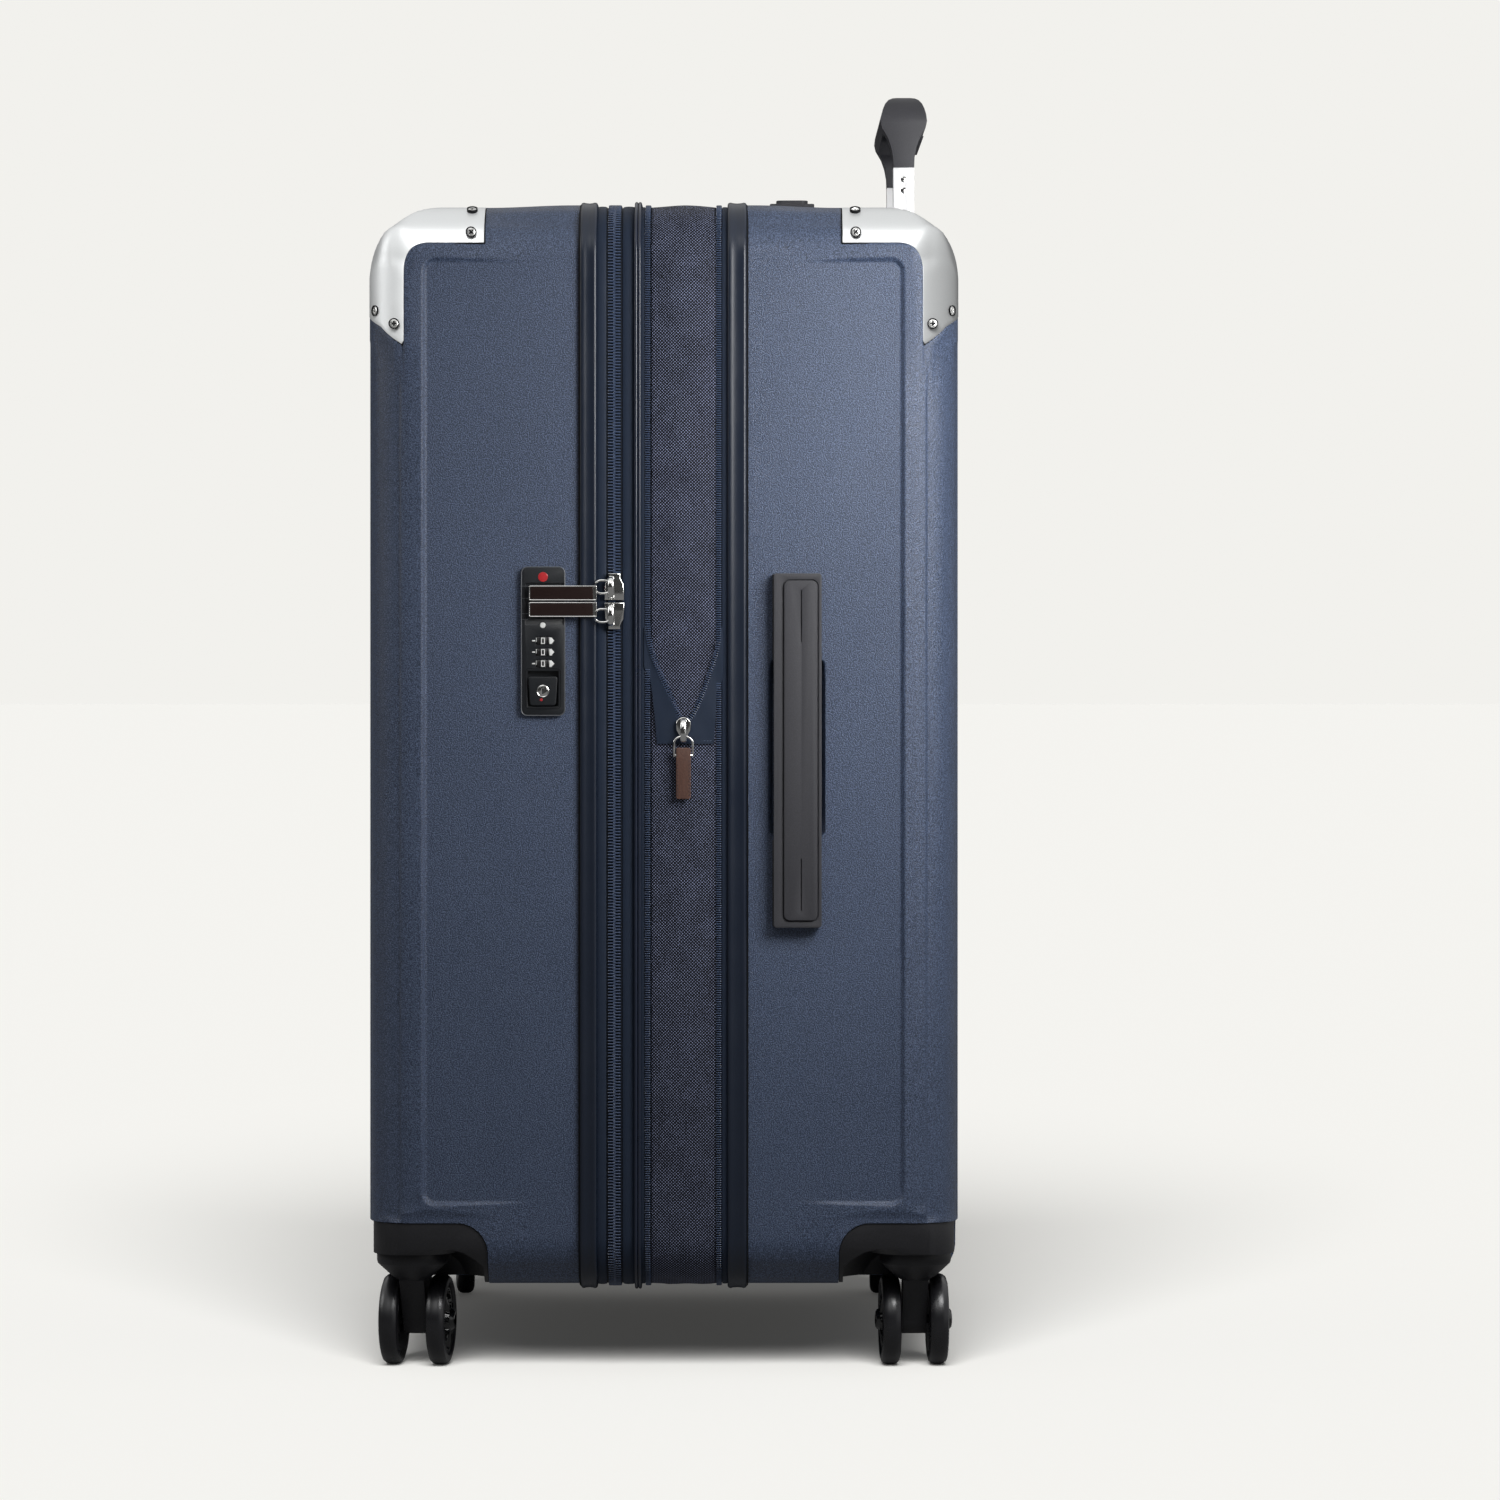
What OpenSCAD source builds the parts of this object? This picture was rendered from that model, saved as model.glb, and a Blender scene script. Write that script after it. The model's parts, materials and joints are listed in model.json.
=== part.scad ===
// Expandable hard-shell spinner suitcase, standing on its casters.
// Millimetres. +Z up, front shell towards -Y, side handle and lock towards +X, floor at Z 0.

/* [Case] */
// Width of the shells, across the front
shell_w = 508; // [500:1:516]
// Height of the shells, without casters and handle
shell_h = 714; // [700:1:730]
// Height of the shells' underside above the floor
ground_gap = 54; // [54:0.5:58]
// Half the depth of the case with the gusset let out
half_depth = 194; // [192:1:198]
// Wall of the moulded shells
wall = 2; // [1.8:0.1:2.4]

/* [Seam] */
// Depth that the gusset adds when it is let out
expansion = 42; // [38:1:42]
// Width of the trim round the front shell's edge
front_rim_w = 11; // [10:0.5:12]
// Width of the trim round the back shell's edge
back_rim_w = 12.5; // [12:0.5:13]

/* [Pull handle] */
// Distance between the two tubes
tube_pitch = 205; // [195:1:210]
// How far the handle stands out of its stowed place
handle_out = 80; // [60:1:80]
// Width of a moving tube, across the case
tube_w = 20; // [18:1:21]
// Depth of a moving tube
tube_d = 14; // [13:1:15]

/* [Casters] */
// Radius of a wheel
wheel_r = 30; // [28:0.5:30]
// Distance from the swivel axis back to the axle
trail = 20; // [16:1:22]
// Swivel axis, from the middle of the case across
caster_x = 220; // [216:1:222]
// Swivel axis, from the middle of the case to the front or back
caster_y = 166; // [162:1:168]

/* [Hidden] */
$fn = 64;

half_w = shell_w / 2;
bottom = ground_gap;
top = ground_gap + shell_h;
mid_z = (bottom + top) / 2;
edge_side_top = 35;   // round between the side and the top, seen from the front
edge_front_top = 49;  // round between the front and the top, seen from the side
edge_front_low = 24;  // the same at the bottom
edge_front_side = 30; // round between the front and the side, seen from above
recess = 2.5;         // how far the panels lie under the shell's shoulders
panel_front = 157;    // where the side panel's step is, towards the front
panel_low = 111;
panel_high = 730;

// Places along the depth, from the front to the back.
shell_edge = 54.5;
front_rim_in = -shell_edge + front_rim_w;
main_zip = -32;
tooth_w = 3.8;
piping_front = -19;
piping_back = -14.6;
gusset_front = -8;
gusset_back = gusset_front + expansion + 0.5;
back_tooth_end = gusset_back + 4;
back_rim_in = shell_edge - back_rim_w;
hinge_x = -half_w - 2;
hinge_y = -37;
hinge_low = 112;
hinge_high = 710;

rim_out = 1.5;   // how far the trims stand proud of the shells
rim_in = -7;
tape_out = -1.5; // outside and inside of the sewn tapes
tape_in = -3;
lining_out = -7;
lining_in = -8.1;

// Pull handle. Heights are with the handle standing out.
tube_y = 161;
tube_x = tube_pitch / 2;
grip_low = 720 + handle_out;
grip_high = grip_low + 48.5;
grip_end = tube_x + tube_w / 2 + 1;
tray_half_x = 126;
tray_y = [140, 185];
tray_low = 714;
tube_low = 74;
inner_low = 360;

// Carry handles, both on one line round the case.
side_handle_y = [72.3, 103.7];
side_handle_z = [292.5, 524.3];
side_handle_hold = 56.5; // length of each end block
top_handle_y = [70.3, 100.3];
top_handle_x = 115;
carry_lift = 10;         // how far a grip rises when it is pulled
scoop_y = [70.4, 105];
scoop_z = [350.5, 469.5];
scoop_deep = 9;

// Combination lock.
lock_y = [-93.2, -64.4];
lock_z = [431, 528.6];
lock_face = half_w + 0.5;
dial_z = [480.2, 472.7, 465.2];
dial_r = 8.6;
dial_t = 4.6;
dial_x = lock_face + 0.8 - dial_r;
lock_mid_y = (lock_y[0] + lock_y[1]) / 2;
button_half = 9.7;
button_z = 447.2;
button_travel = 3;
pull_z = [511.4, 500.6];
slider_z = [515.4, 496.6];
pull_y = -34.2; // line that the pulls turn on
ring_z = 417.7; // line that the expansion pull turns on

// Casters.
well_top = 77;
head_top = 76.4;
axle_z = wheel_r;
axle_r = 3;
stem_r = 4;
running = 0.05;
zone_y = caster_y - 50.5;
zone_x = caster_x - 50.5;
housing_top = 98;

module along_x(x0, x1) { translate([x0, 0, 0]) rotate([90, 0, 90]) linear_extrude(x1 - x0) children(); }
module along_y(y0, y1) { translate([0, y1, 0]) rotate([90, 0, 0]) linear_extrude(y1 - y0) children(); }
module along_z(z0, z1) { translate([0, 0, z0]) linear_extrude(z1 - z0) children(); }

// Solid box from its two corners.
module span(a, b) { translate(a) cube(b - a); }

// Rectangle with round corners, in the plane of an extrusion.
module rounded(x0, x1, y0, y1, r) {
    translate([x0 + r, y0]) square([x1 - x0 - 2 * r, y1 - y0]);
    translate([x0, y0 + r]) square([x1 - x0, y1 - y0 - 2 * r]);
    for (x = [x0 + r, x1 - r], y = [y0 + r, y1 - r]) translate([x, y]) circle(r);
}

// The case's outline seen from the front, grown by o.
module outline(o) { rounded(-half_w - o, half_w + o, bottom - o, top + o, edge_side_top + o); }

// The whole case as a rounded block, grown by o.
module block(o) {
    intersection() {
        along_y(-half_depth - o, half_depth + o) outline(o);
        along_x(-half_w - o, half_w + o) {
            rounded(-half_depth - o, half_depth + o, mid_z - 60, top + o, edge_front_top + o);
            rounded(-half_depth - o, half_depth + o, bottom - o, mid_z + 60, edge_front_low + o);
        }
        along_z(bottom - o, top + o)
            rounded(-half_w - o, half_w + o, -half_depth - o, half_depth + o, edge_front_side + o);
    }
}

module left_and_right() { children(); mirror([1, 0, 0]) children(); }
module front_to_back() { mirror([0, 1, 0]) children(); }

// A band round the whole case, between two depths and two offsets from the outline.
module ring(y0, y1, out, in) {
    along_y(y0, y1) difference() {
        outline(out);
        outline(in);
    }
}

// What the moulding takes off the block for its sunk panels and ribs, g thicker for the inside face.
module panels(g) {
    floor_x = half_w - recess - g;
    left_and_right() along_x(floor_x, half_w + 5)
        rounded(-panel_front - g, 40, panel_low - g, panel_high + g, 12);
    floor_y = half_depth - recess - g;
    along_y(-half_depth - 5, -floor_y) rounded(-212 - g, 212 + g, 118 - g, 712 + g, 22);
    for (i = [-2:2]) along_y(-floor_y - 1, -floor_y + recess) rounded(i * 74 - 11 - g, i * 74 + 11 + g, 142 - g, 688 + g, 10.5);
}

// Corner that the caster's housing takes, grown by o. Front right.
module caster_zone(o) {
    intersection() {
        along_x(zone_x - o, 320) rounded(-260, -zone_y + o, -40, housing_top + o, 20 + o);
        along_y(-260, -zone_y + o) rounded(zone_x - o, 340, -40, housing_top + o, 20 + o);
    }
}

// Space that the wheels sweep under the corner, grown by o.
module wheel_well(o) {
    translate([caster_x, -caster_y, 0]) rotate_extrude()
        polygon([[0, 20], [58 + o, 20], [58 + o, 58], [56 + o, 65], [51 + o, 73.5 + o], [46 + o, 78.5 + o],
                 [40 + o, 81 + o], [34, 81 + o], [30, well_top + o], [0, well_top + o]]);
}

// Strip of the top corner that the metal guard covers, seen from the side. Front.
module guard_band() {
    inner_y = -170.5;
    inner_z = 741.5;
    arc_r = 16;
    polygon(concat(
        [[-117.5, top + 5], [-117.5, inner_z + 2], [-118.1, inner_z + 0.6], [-119.5, inner_z]],
        [for (a = [0:15:90]) [inner_y + arc_r - arc_r * sin(a), inner_z - arc_r + arc_r * cos(a)]],
        [[inner_y, 674], [inner_y - 2, 673.5], [-205, 704], [-205, top + 5]]));
}

// Guard's skin on the front right corner, from depth a to depth b under the surface.
module guard_skin(a, b) {
    intersection() {
        difference() {
            block(a);
            block(b);
        }
        along_x(half_w - 32, half_w + 3) guard_band();
    }
}

// Places and directions of one guard's screws: two on the side, one on the edge to the top, one to the front.
module guard_screw_places() {
    translate([half_w, -176.5, 688]) rotate([0, 90, 0]) children();
    translate([half_w, -126, 748]) rotate([0, 90, 0]) children();
    translate([half_w - edge_side_top, -126, top - edge_side_top]) rotate([0, 37, 0])
        translate([0, 0, edge_side_top]) children();
    translate([half_w - edge_front_side, edge_front_side - half_depth, 697]) rotate([0, 90, -48])
        translate([0, 0, edge_front_side]) children();
}

module screw() {
    cylinder(h = 1, r1 = 3.2, r2 = 2.2);
    translate([0, 0, -2.6]) cylinder(h = 2.6, r = 1.4);
}

// Front half of the shells. The back half is its mirror image with its own openings.
module shell_form() {
    difference() {
        intersection() {
            difference() {
                block(0);
                panels(0);
            }
            span([-300, -220, 0], [300, -shell_edge + 4, 800]);
        }
        difference() {
            block(-wall);
            panels(wall);
        }
        left_and_right() {
            caster_zone(0.4);
            guard_skin(1, -1.2);
            guard_screw_places() translate([0, 0, -4]) cylinder(h = 5, r = 1.5);
        }
    }
}

module front_shell() {
    color("midnightblue") difference() {
        shell_form();
        along_x(200, 300) rounded(lock_y[0] - 0.3, lock_y[1] + 0.3, lock_z[0] - 0.3, lock_z[1] + 0.3, 4);
    }
}

// Finger scoop under the side handle, as a box grown by g all round and below.
module scoop(g) {
    along_x(half_w - recess - scoop_deep - g, half_w - recess + (g > 0 ? 0 : 1))
        rounded(scoop_y[0] - g, scoop_y[1] + g, scoop_z[0] - g, scoop_z[1] + g, 8);
}

module back_shell() {
    color("midnightblue") difference() {
        union() {
            front_to_back() shell_form();
            scoop(wall);
        }
        scoop(0);
        span([-tray_half_x - 0.4, tray_y[0] - 0.4, 700], [tray_half_x + 0.4, tray_y[1] + 0.4, 800]);
        side_handle_legs(0.3, 0.3);
        top_handle_legs(0.3, 0.3);
    }
}

// Trims that grip the shells' edges, each with its groove open towards its shell.
module front_rim() {
    color("#26304a") difference() {
        ring(-shell_edge, front_rim_in, rim_out, rim_in);
        ring(-shell_edge - 1, -shell_edge + 4.1, 0.05, -wall - recess - 0.05);
    }
}

module back_rim() {
    color("#26304a") difference() {
        ring(back_rim_in, shell_edge, rim_out, rim_in);
        ring(shell_edge - 4.1, shell_edge + 1, 0.05, -wall - recess - 0.05);
    }
}

// Where the hinge web takes the zip's place, on the side away from the lock.
module hinge_side() { span([-300, -60, hinge_low], [-half_w + 20, -20, hinge_high]); }

module front_zip_tape() {
    color("#1c2740") difference() {
        union() {
            ring(front_rim_in, main_zip - 0.2, tape_out, tape_in);
            ring(main_zip - 0.2 - tooth_w, main_zip - 0.2, 0.5, tape_in);
        }
        hinge_side();
    }
}

module mid_tape() {
    color("#1c2740") difference() {
        union() {
            ring(main_zip + 0.2, piping_front, tape_out, tape_in);
            ring(main_zip + 0.2, main_zip + 0.2 + tooth_w, 0.5, tape_in);
            ring(piping_front, gusset_front, tape_in + 0.1, tape_in - 1.4);
            ring(piping_back, gusset_front - 4, tape_out, tape_in);
            ring(gusset_front - 4, gusset_front, 0.4, tape_in);
        }
        span([-300, -60, hinge_low], [-half_w + 20, -27.9, hinge_high]);
    }
}

module mid_piping() { color("#2a3450") ring(piping_front, piping_back, 1.8, tape_in + 0.1); }

module gusset() { color("#232a3f") ring(gusset_front, gusset_back, -2.2, tape_in - 0.4); }

module back_zip_tape() {
    color("#1c2740") {
        ring(gusset_back, back_tooth_end, 0.6, tape_in - 0.4);
        ring(back_tooth_end, back_rim_in, tape_out, tape_in - 0.4);
    }
}

module hinge_web() {
    color("#1c2740") span([-half_w - 0.4, front_rim_in, hinge_low + 0.3], [-half_w + 0.8, -28, hinge_high - 0.3]);
}

// Space inside the shells, o under the surface, less the humps over the casters, g thicker. Front.
module cavity(o, g) {
    difference() {
        block(o);
        left_and_right() span([zone_x - 4 - g, -260, 0], [300, -zone_y + 4 + g, housing_top + 3.6 + g]);
    }
}

module front_lining() {
    color("#3a4150") difference() {
        intersection() {
            cavity(lining_out, 0);
            span([-300, -220, 0], [300, -49, 800]);
        }
        difference() {
            cavity(lining_in, 1);
            span([230, lock_y[0] - 3, lock_z[0] - 3], [300, lock_y[1] + 3, lock_z[1] + 3]);
        }
        span([231, lock_y[0] - 2, lock_z[0] - 2], [300, lock_y[1] + 2, lock_z[1] + 2]);
    }
}

// Room behind the lining for the carry handles' legs and the finger scoop.
module handle_humps(g) {
    span([half_w - 25 - g, 66 - g, side_handle_z[0] - 4 - g], [300, 109 + g, side_handle_z[1] + 4 + g]);
    span([-top_handle_x - 4 - g, 66 - g, top - 22 - g], [top_handle_x + 4 + g, 106 + g, 800]);
}

// Space that the pull handle takes at the back, grown by g.
module tube_hump(g) {
    span([-tray_half_x - 2 - g, tray_y[0] - 3 - g, 0], [tray_half_x + 2 + g, 220, 800]);
}

module back_lining() {
    color("#3a4150") difference() {
        intersection() {
            front_to_back() cavity(lining_out, 0);
            span([-300, 49, 0], [300, 220, 800]);
        }
        tube_hump(0);
        handle_humps(0);
        difference() {
            front_to_back() cavity(lining_in, 1);
            handle_humps(1);
        }
    }
}

// Cover over the pull handle's tubes, between the lining's top, bottom and back.
module tube_cover() {
    color("#3a4150") difference() {
        intersection() {
            front_to_back() cavity(lining_in, 1);
            tube_hump(1);
        }
        tube_hump(0);
    }
}

// Page with pockets between the two halves.
module divider_page() {
    color("#4a5162") along_y(-46.5, -44) rounded(-236, 240, 68, 754, 26);
}

module front_guards() { color("silver") left_and_right() guard_holes() guard_skin(0, -1.2); }
module back_guards() { color("silver") front_to_back() left_and_right() guard_holes() guard_skin(0, -1.2); }
module guard_holes() {
    difference() {
        children();
        guard_screw_places() translate([0, 0, -4]) cylinder(h = 8, r = 1.5);
    }
}

module front_guard_screws() { color("gainsboro") left_and_right() guard_screw_places() screw(); }
module back_guard_screws() { color("gainsboro") front_to_back() left_and_right() guard_screw_places() screw(); }

// Black corner moulding over a caster. Front right.
module housing() {
    boss_top = 95;
    color("#1d1d20") difference() {
        intersection() {
            union() {
                difference() {
                    block(-2.5);
                    block(-5.5);
                }
                wheel_well(3);
                translate([caster_x, -caster_y, well_top]) cylinder(h = boss_top - well_top, r = 9);
            }
            block(-2.5);
            caster_zone(0);
        }
        intersection() {
            wheel_well(0);
            caster_zone(-2.5);
        }
        translate([caster_x, -caster_y, 40]) cylinder(h = boss_top - 3 - 40, r = stem_r + running);
    }
}
module front_housing_right() { housing(); }
module front_housing_left() { mirror([1, 0, 0]) housing(); }
module back_housing_right() { front_to_back() housing(); }
module back_housing_left() { front_to_back() mirror([1, 0, 0]) housing(); }

// Casters: corner name, side, end, and the turn at rest.
CASTERS = [["fl", -1, -1, 4], ["fr", 1, -1, -6.5], ["bl", -1, 1, -2], ["br", 1, 1, 2.2]];
module at_caster(name) {
    for (c = CASTERS) if (c[0] == name)
        translate([c[1] * caster_x, c[2] * caster_y, 0]) rotate([0, 0, 180 + c[3]]) children();
}

// Swivelling fork, with its stem up and its axle trailing along X.
module fork() {
    color("#1a1a1c") {
        rotate_extrude() polygon([[0, 58], [9, 58], [14, 61.3], [23, 69.6], [23.5, 71.5], [23.5, head_top], [0, head_top]]);
        translate([0, 0, head_top - 1]) cylinder(h = 91 - head_top + 1, r = stem_r);
        along_y(-8.2, 8.2) {
            polygon([[-10, 66], [10, 66], [trail + 9.5, axle_z], [trail - 9.5, axle_z]]);
            translate([trail, axle_z]) circle(9.5);
        }
        translate([trail, 22, axle_z]) rotate([90, 0, 0]) cylinder(h = 44, r = axle_r);
    }
}

// Wheel with a rounded tread and a domed hub face, on the +Y side of the fork.
module wheel() {
    near = 9.2;
    far = 22.2;
    color("#151517") translate([trail, 0, axle_z]) rotate([-90, 0, 0]) rotate_extrude()
        polygon([[axle_r + running, near], [25, near], [28.4, near + 1.4], [wheel_r, near + 4.4],
                 [wheel_r, far - 4.4], [28.4, far - 1.4], [25.4, far], [22.5, far], [19, far + 1.8],
                 [10, far + 3.2], [axle_r + running, far + 3.6]]);
}

module outer_tubes() {
    color("#8d9196") left_and_right() translate([tube_x, tube_y]) along_z(tube_low, tray_low - 0.4) difference() {
        square([tube_w + 4, tube_d + 4], center = true);
        square([tube_w + 0.8, tube_d + 0.8], center = true);
    }
}

module tube_foot() {
    color("#222226") intersection() {
        block(-wall);
        span([-tube_x - 18, tube_y - 12, bottom], [tube_x + 18, tube_y + 12, tube_low]);
    }
}

// Tray that the grip drops into, let into the top of the back shell.
module handle_tray() {
    color("#1d1d20") difference() {
        intersection() {
            block(0.8);
            span([-tray_half_x, tray_y[0], tray_low], [tray_half_x, tray_y[1], 800]);
        }
        along_z(tray_low + 4, 800) rounded(-grip_end - 6, grip_end + 6, tube_y - 17.6, tube_y + 17.6, 8);
        left_and_right() translate([tube_x, tube_y, 700])
            linear_extrude(100) square([tube_w + 0.8, tube_d + 0.8], center = true);
    }
}

module inner_tubes() {
    color("#e8e8ea") left_and_right() difference() {
        translate([tube_x, tube_y]) along_z(inner_low, grip_low) difference() {
            square([tube_w, tube_d], center = true);
            square([tube_w - 3, tube_d - 3], center = true);
        }
        grip_screw_places() translate([0, 0, -4]) cylinder(h = 8, r = 1.25);
    }
}

module grip_screw_places() {
    for (z = [grip_low - 8, grip_low - 15.4]) translate([tube_x + tube_w / 2, tube_y, z]) rotate([0, 90, 0]) children();
}

module grip_screws() {
    color("#9a9da2") left_and_right() grip_screw_places() {
        cylinder(h = 0.3, r = 2.2);
        translate([0, 0, -3]) cylinder(h = 3.2, r = 1.2);
    }
}

// Side view of the grip: a broad head that narrows to the tube. Half widths and heights.
GRIP_SIDE = [[7, 0], [7.3, 7], [8.6, 14], [10.8, 20.4], [13, 24.2], [14.8, 27.2], [15.7, 31.5], [15.2, 36],
             [14.1, 40], [12.5, 43.8], [10.2, 46.6], [7.6, 47.9], [4, 48.5]];
module grip_profile() {
    last = len(GRIP_SIDE) - 1;
    polygon(concat(
        [for (p = GRIP_SIDE) [tube_y + p[0], grip_low + p[1]]],
        [for (i = [last:-1:0]) [tube_y - GRIP_SIDE[i][0], grip_low + GRIP_SIDE[i][1]]]));
}

module handle_grip() {
    opening = tube_x - 12;
    color("#242426") difference() {
        union() {
            intersection() {
                along_x(-grip_end, grip_end) grip_profile();
                along_y(tube_y - 30, tube_y + 30) rounded(-grip_end, grip_end, grip_low - 60, grip_high, 18);
            }
            left_and_right() translate([tube_x, tube_y]) along_z(grip_low - 22, grip_low + 5)
                square([tube_w - 3.2, tube_d - 3.2], center = true);
        }
        along_y(tube_y - 30, tube_y + 30) rounded(-opening, opening, grip_low - 60, grip_low + 25, 12);
        left_and_right() grip_screw_places() translate([0, 0, -5]) cylinder(h = 8, r = 1.25);
        span([-22.3, tube_y - 8.3, grip_high - 8], [22.3, tube_y + 8.3, grip_high + 5]);
    }
}

module handle_button() {
    color("#333337") along_z(grip_high - 3.5, grip_high + 1.2) rounded(-22, 22, tube_y - 8, tube_y + 8, 5);
}

// Rods inside the moving tubes, with the lock blocks at their lower ends.
module release_rods() {
    color("#8a6d2f") left_and_right() translate([tube_x, tube_y, 0]) {
        along_z(inner_low - 18, inner_low - 0.2) square([tube_w, tube_d], center = true);
        translate([0, 0, inner_low - 0.2]) cylinder(h = grip_low - 22.4 - inner_low, r = 2);
    }
}

// Legs of a carry grip, grown by g across and by e at the flanges' ends.
module side_handle_legs(g, e) {
    y = (side_handle_y[0] + side_handle_y[1]) / 2;
    for (z = [side_handle_z[0] + 28, side_handle_z[1] - 28])
        span([half_w - 15, y - 8 - g, z - 9 - g], [half_w + 3 + e, y + 8 + g, z + 9 + g]);
}
module top_handle_legs(g, e) {
    y = (top_handle_y[0] + top_handle_y[1]) / 2;
    for (x = [-top_handle_x + 28, top_handle_x - 28])
        span([x - 9 - g, y - 8 - g, top - 12.5], [x + 9 + g, y + 8 + g, top + 3.6 + e]);
}

// Two end blocks let into the +X face, one at each end of the finger scoop.
module side_handle_base() {
    floor_x = half_w - recess;
    color("#17171a") difference() {
        for (z = [side_handle_z[0] + 0.5, side_handle_z[1] - 0.5 - side_handle_hold])
            span([floor_x, side_handle_y[0] - 0.8, z], [half_w + 2.6, side_handle_y[1] - 0.6, z + side_handle_hold]);
        side_handle_legs(0.3, 0.3);
    }
}

// Grip with a raised pad, on two legs whose flanges stop it inside the shell.
module side_handle_grip() {
    face_x = half_w + 3;
    y = (side_handle_y[0] + side_handle_y[1]) / 2;
    color("#2b2b2e") {
        difference() {
            along_x(face_x, face_x + 5) rounded(side_handle_y[0], side_handle_y[1], side_handle_z[0], side_handle_z[1], 2);
            along_x(face_x + 4, face_x + 6)
                rounded(side_handle_y[0] + 6, side_handle_y[1] - 2.1, side_handle_z[0] + 4.1, side_handle_z[1] - 4.1, 4.5);
        }
        along_x(face_x + 4, face_x + 6.8) difference() {
            rounded(side_handle_y[0] + 6.8, side_handle_y[1] - 2.9, side_handle_z[0] + 4.9, side_handle_z[1] - 4.9, 3.7);
            for (z = [side_handle_z[0] + 28, side_handle_z[1] - 28]) translate([y + 2, z - 17]) square([0.6, 34]);
        }
        side_handle_legs(0, 0);
        for (z = [side_handle_z[0] + 28, side_handle_z[1] - 28])
            span([half_w - 23, y - 11, z - 13], [half_w - 15, y + 11, z + 13]);
    }
}

module top_handle_base() {
    x = top_handle_x - 0.5;
    color("#17171a") difference() {
        for (s = [-1, 1]) span([s * (x - 28) - 28, top_handle_y[0], top], [s * (x - 28) + 28, top_handle_y[1], top + 3.2]);
        top_handle_legs(0.3, 0.3);
    }
}

module top_handle_grip() {
    x = top_handle_x;
    y = (top_handle_y[0] + top_handle_y[1]) / 2;
    color("#2b2b2e") {
        along_z(top + 3.6, top + 7.4) rounded(-x, x, y - 15, y + 15, 2);
        along_z(top + 7.4, top + 10) rounded(-x + 5, x - 5, y - 10.7, y + 10.7, 4.5);
        top_handle_legs(0, 0);
        for (s = [-1, 1]) span([s * (x - 28) - 13, y - 11, top - 20], [s * (x - 28) + 13, y + 11, top - 12.5]);
    }
}

module back_straps() {
    color("#2c3346") intersection() {
        for (a = [38, 142, 218, 322])
            translate([0, 52, mid_z]) rotate([0, a, 0]) span([22, -0.8, -12.5], [340, 0.8, 12.5]);
        block(lining_in);
    }
}

module strap_buckle() {
    color("#17171a") difference() {
        along_y(48.5, 55.5) translate([0, mid_z]) rounded(-21.5, 21.5, -20, 20, 5);
        back_straps();
    }
}

// Lock body let into the front shell's side, with its bay for the pulls at the top.
module lock_body() {
    back = half_w - 19;
    bay_low = 490.5;
    color("#1b1b1d") difference() {
        along_x(back, lock_face) rounded(lock_y[0], lock_y[1], lock_z[0], lock_z[1], 4);
        span([lock_face - 1.4, lock_mid_y - 11.5, bay_low], [lock_face + 5, lock_y[1] + 5, 518]);
        for (z = dial_z) {
            translate([dial_x, lock_mid_y, z - dial_t / 2 - 0.3]) cylinder(h = dial_t + 0.6, r = dial_r + 0.4);
        }
        span([lock_face - 4.4, lock_mid_y - button_half - 0.4, button_z - button_half - 0.4],
             [lock_face + 5, lock_mid_y + button_half + 0.4, button_z + button_half + button_travel + 0.4]);
    }
    color("#55585c") for (z = dial_z) translate([dial_x, lock_mid_y, z - dial_t / 2 - 0.3]) cylinder(h = dial_t + 0.6, r = 1.5);
}

// Number wheel, with ten finger notches round its edge.
module dial(z) {
    color("#222225") translate([dial_x, lock_mid_y, z - dial_t / 2]) difference() {
        cylinder(h = dial_t, r = dial_r);
        translate([0, 0, -1]) cylinder(h = dial_t + 2, r = 1.5 + running);
        for (i = [0:9]) rotate([0, 0, 36 * i + 18]) translate([dial_r + 0.5, 0, -1]) cylinder(h = dial_t + 2, r = 1, $fn = 8);
    }
}

module lock_button() {
    color("#202023") difference() {
        along_x(lock_face - 4, lock_face + 1.6)
            rounded(lock_mid_y - button_half, lock_mid_y + button_half, button_z - button_half, button_z + button_half, 2);
        translate([lock_face - 2, lock_mid_y, button_z]) rotate([0, 90, 0]) cylinder(h = 9, r = 3.4 + running);
    }
}

module key_cylinder() {
    color("#b9b6a8") translate([lock_face - 2, lock_mid_y, button_z]) rotate([0, 90, 0]) difference() {
        cylinder(h = 4.1, r = 3.4);
        translate([-1.8, -0.5, 2.5]) cube([3.6, 1, 4]);
    }
}

// Slider on the closed main zip, with the bridge that holds its pull's hinge bar.
module slider(z) {
    body = half_w + 0.7;
    color("#c8c9cc") {
        along_x(body, body + 2) polygon([[main_zip - 6.4, z - 9], [main_zip + 6.4, z - 9], [main_zip + 6.4, z + 3],
                                          [main_zip + 4, z + 9], [main_zip - 4, z + 9], [main_zip - 6.4, z + 3]]);
        for (y = [pull_y - 6, pull_y + 3.6]) span([body + 1, y, z - 2], [body + 6.6, y + 2.4, z + 2]);
        span([body + 5.2, pull_y - 6, z - 2], [body + 6.6, pull_y + 6, z + 2]);
    }
}

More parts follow.
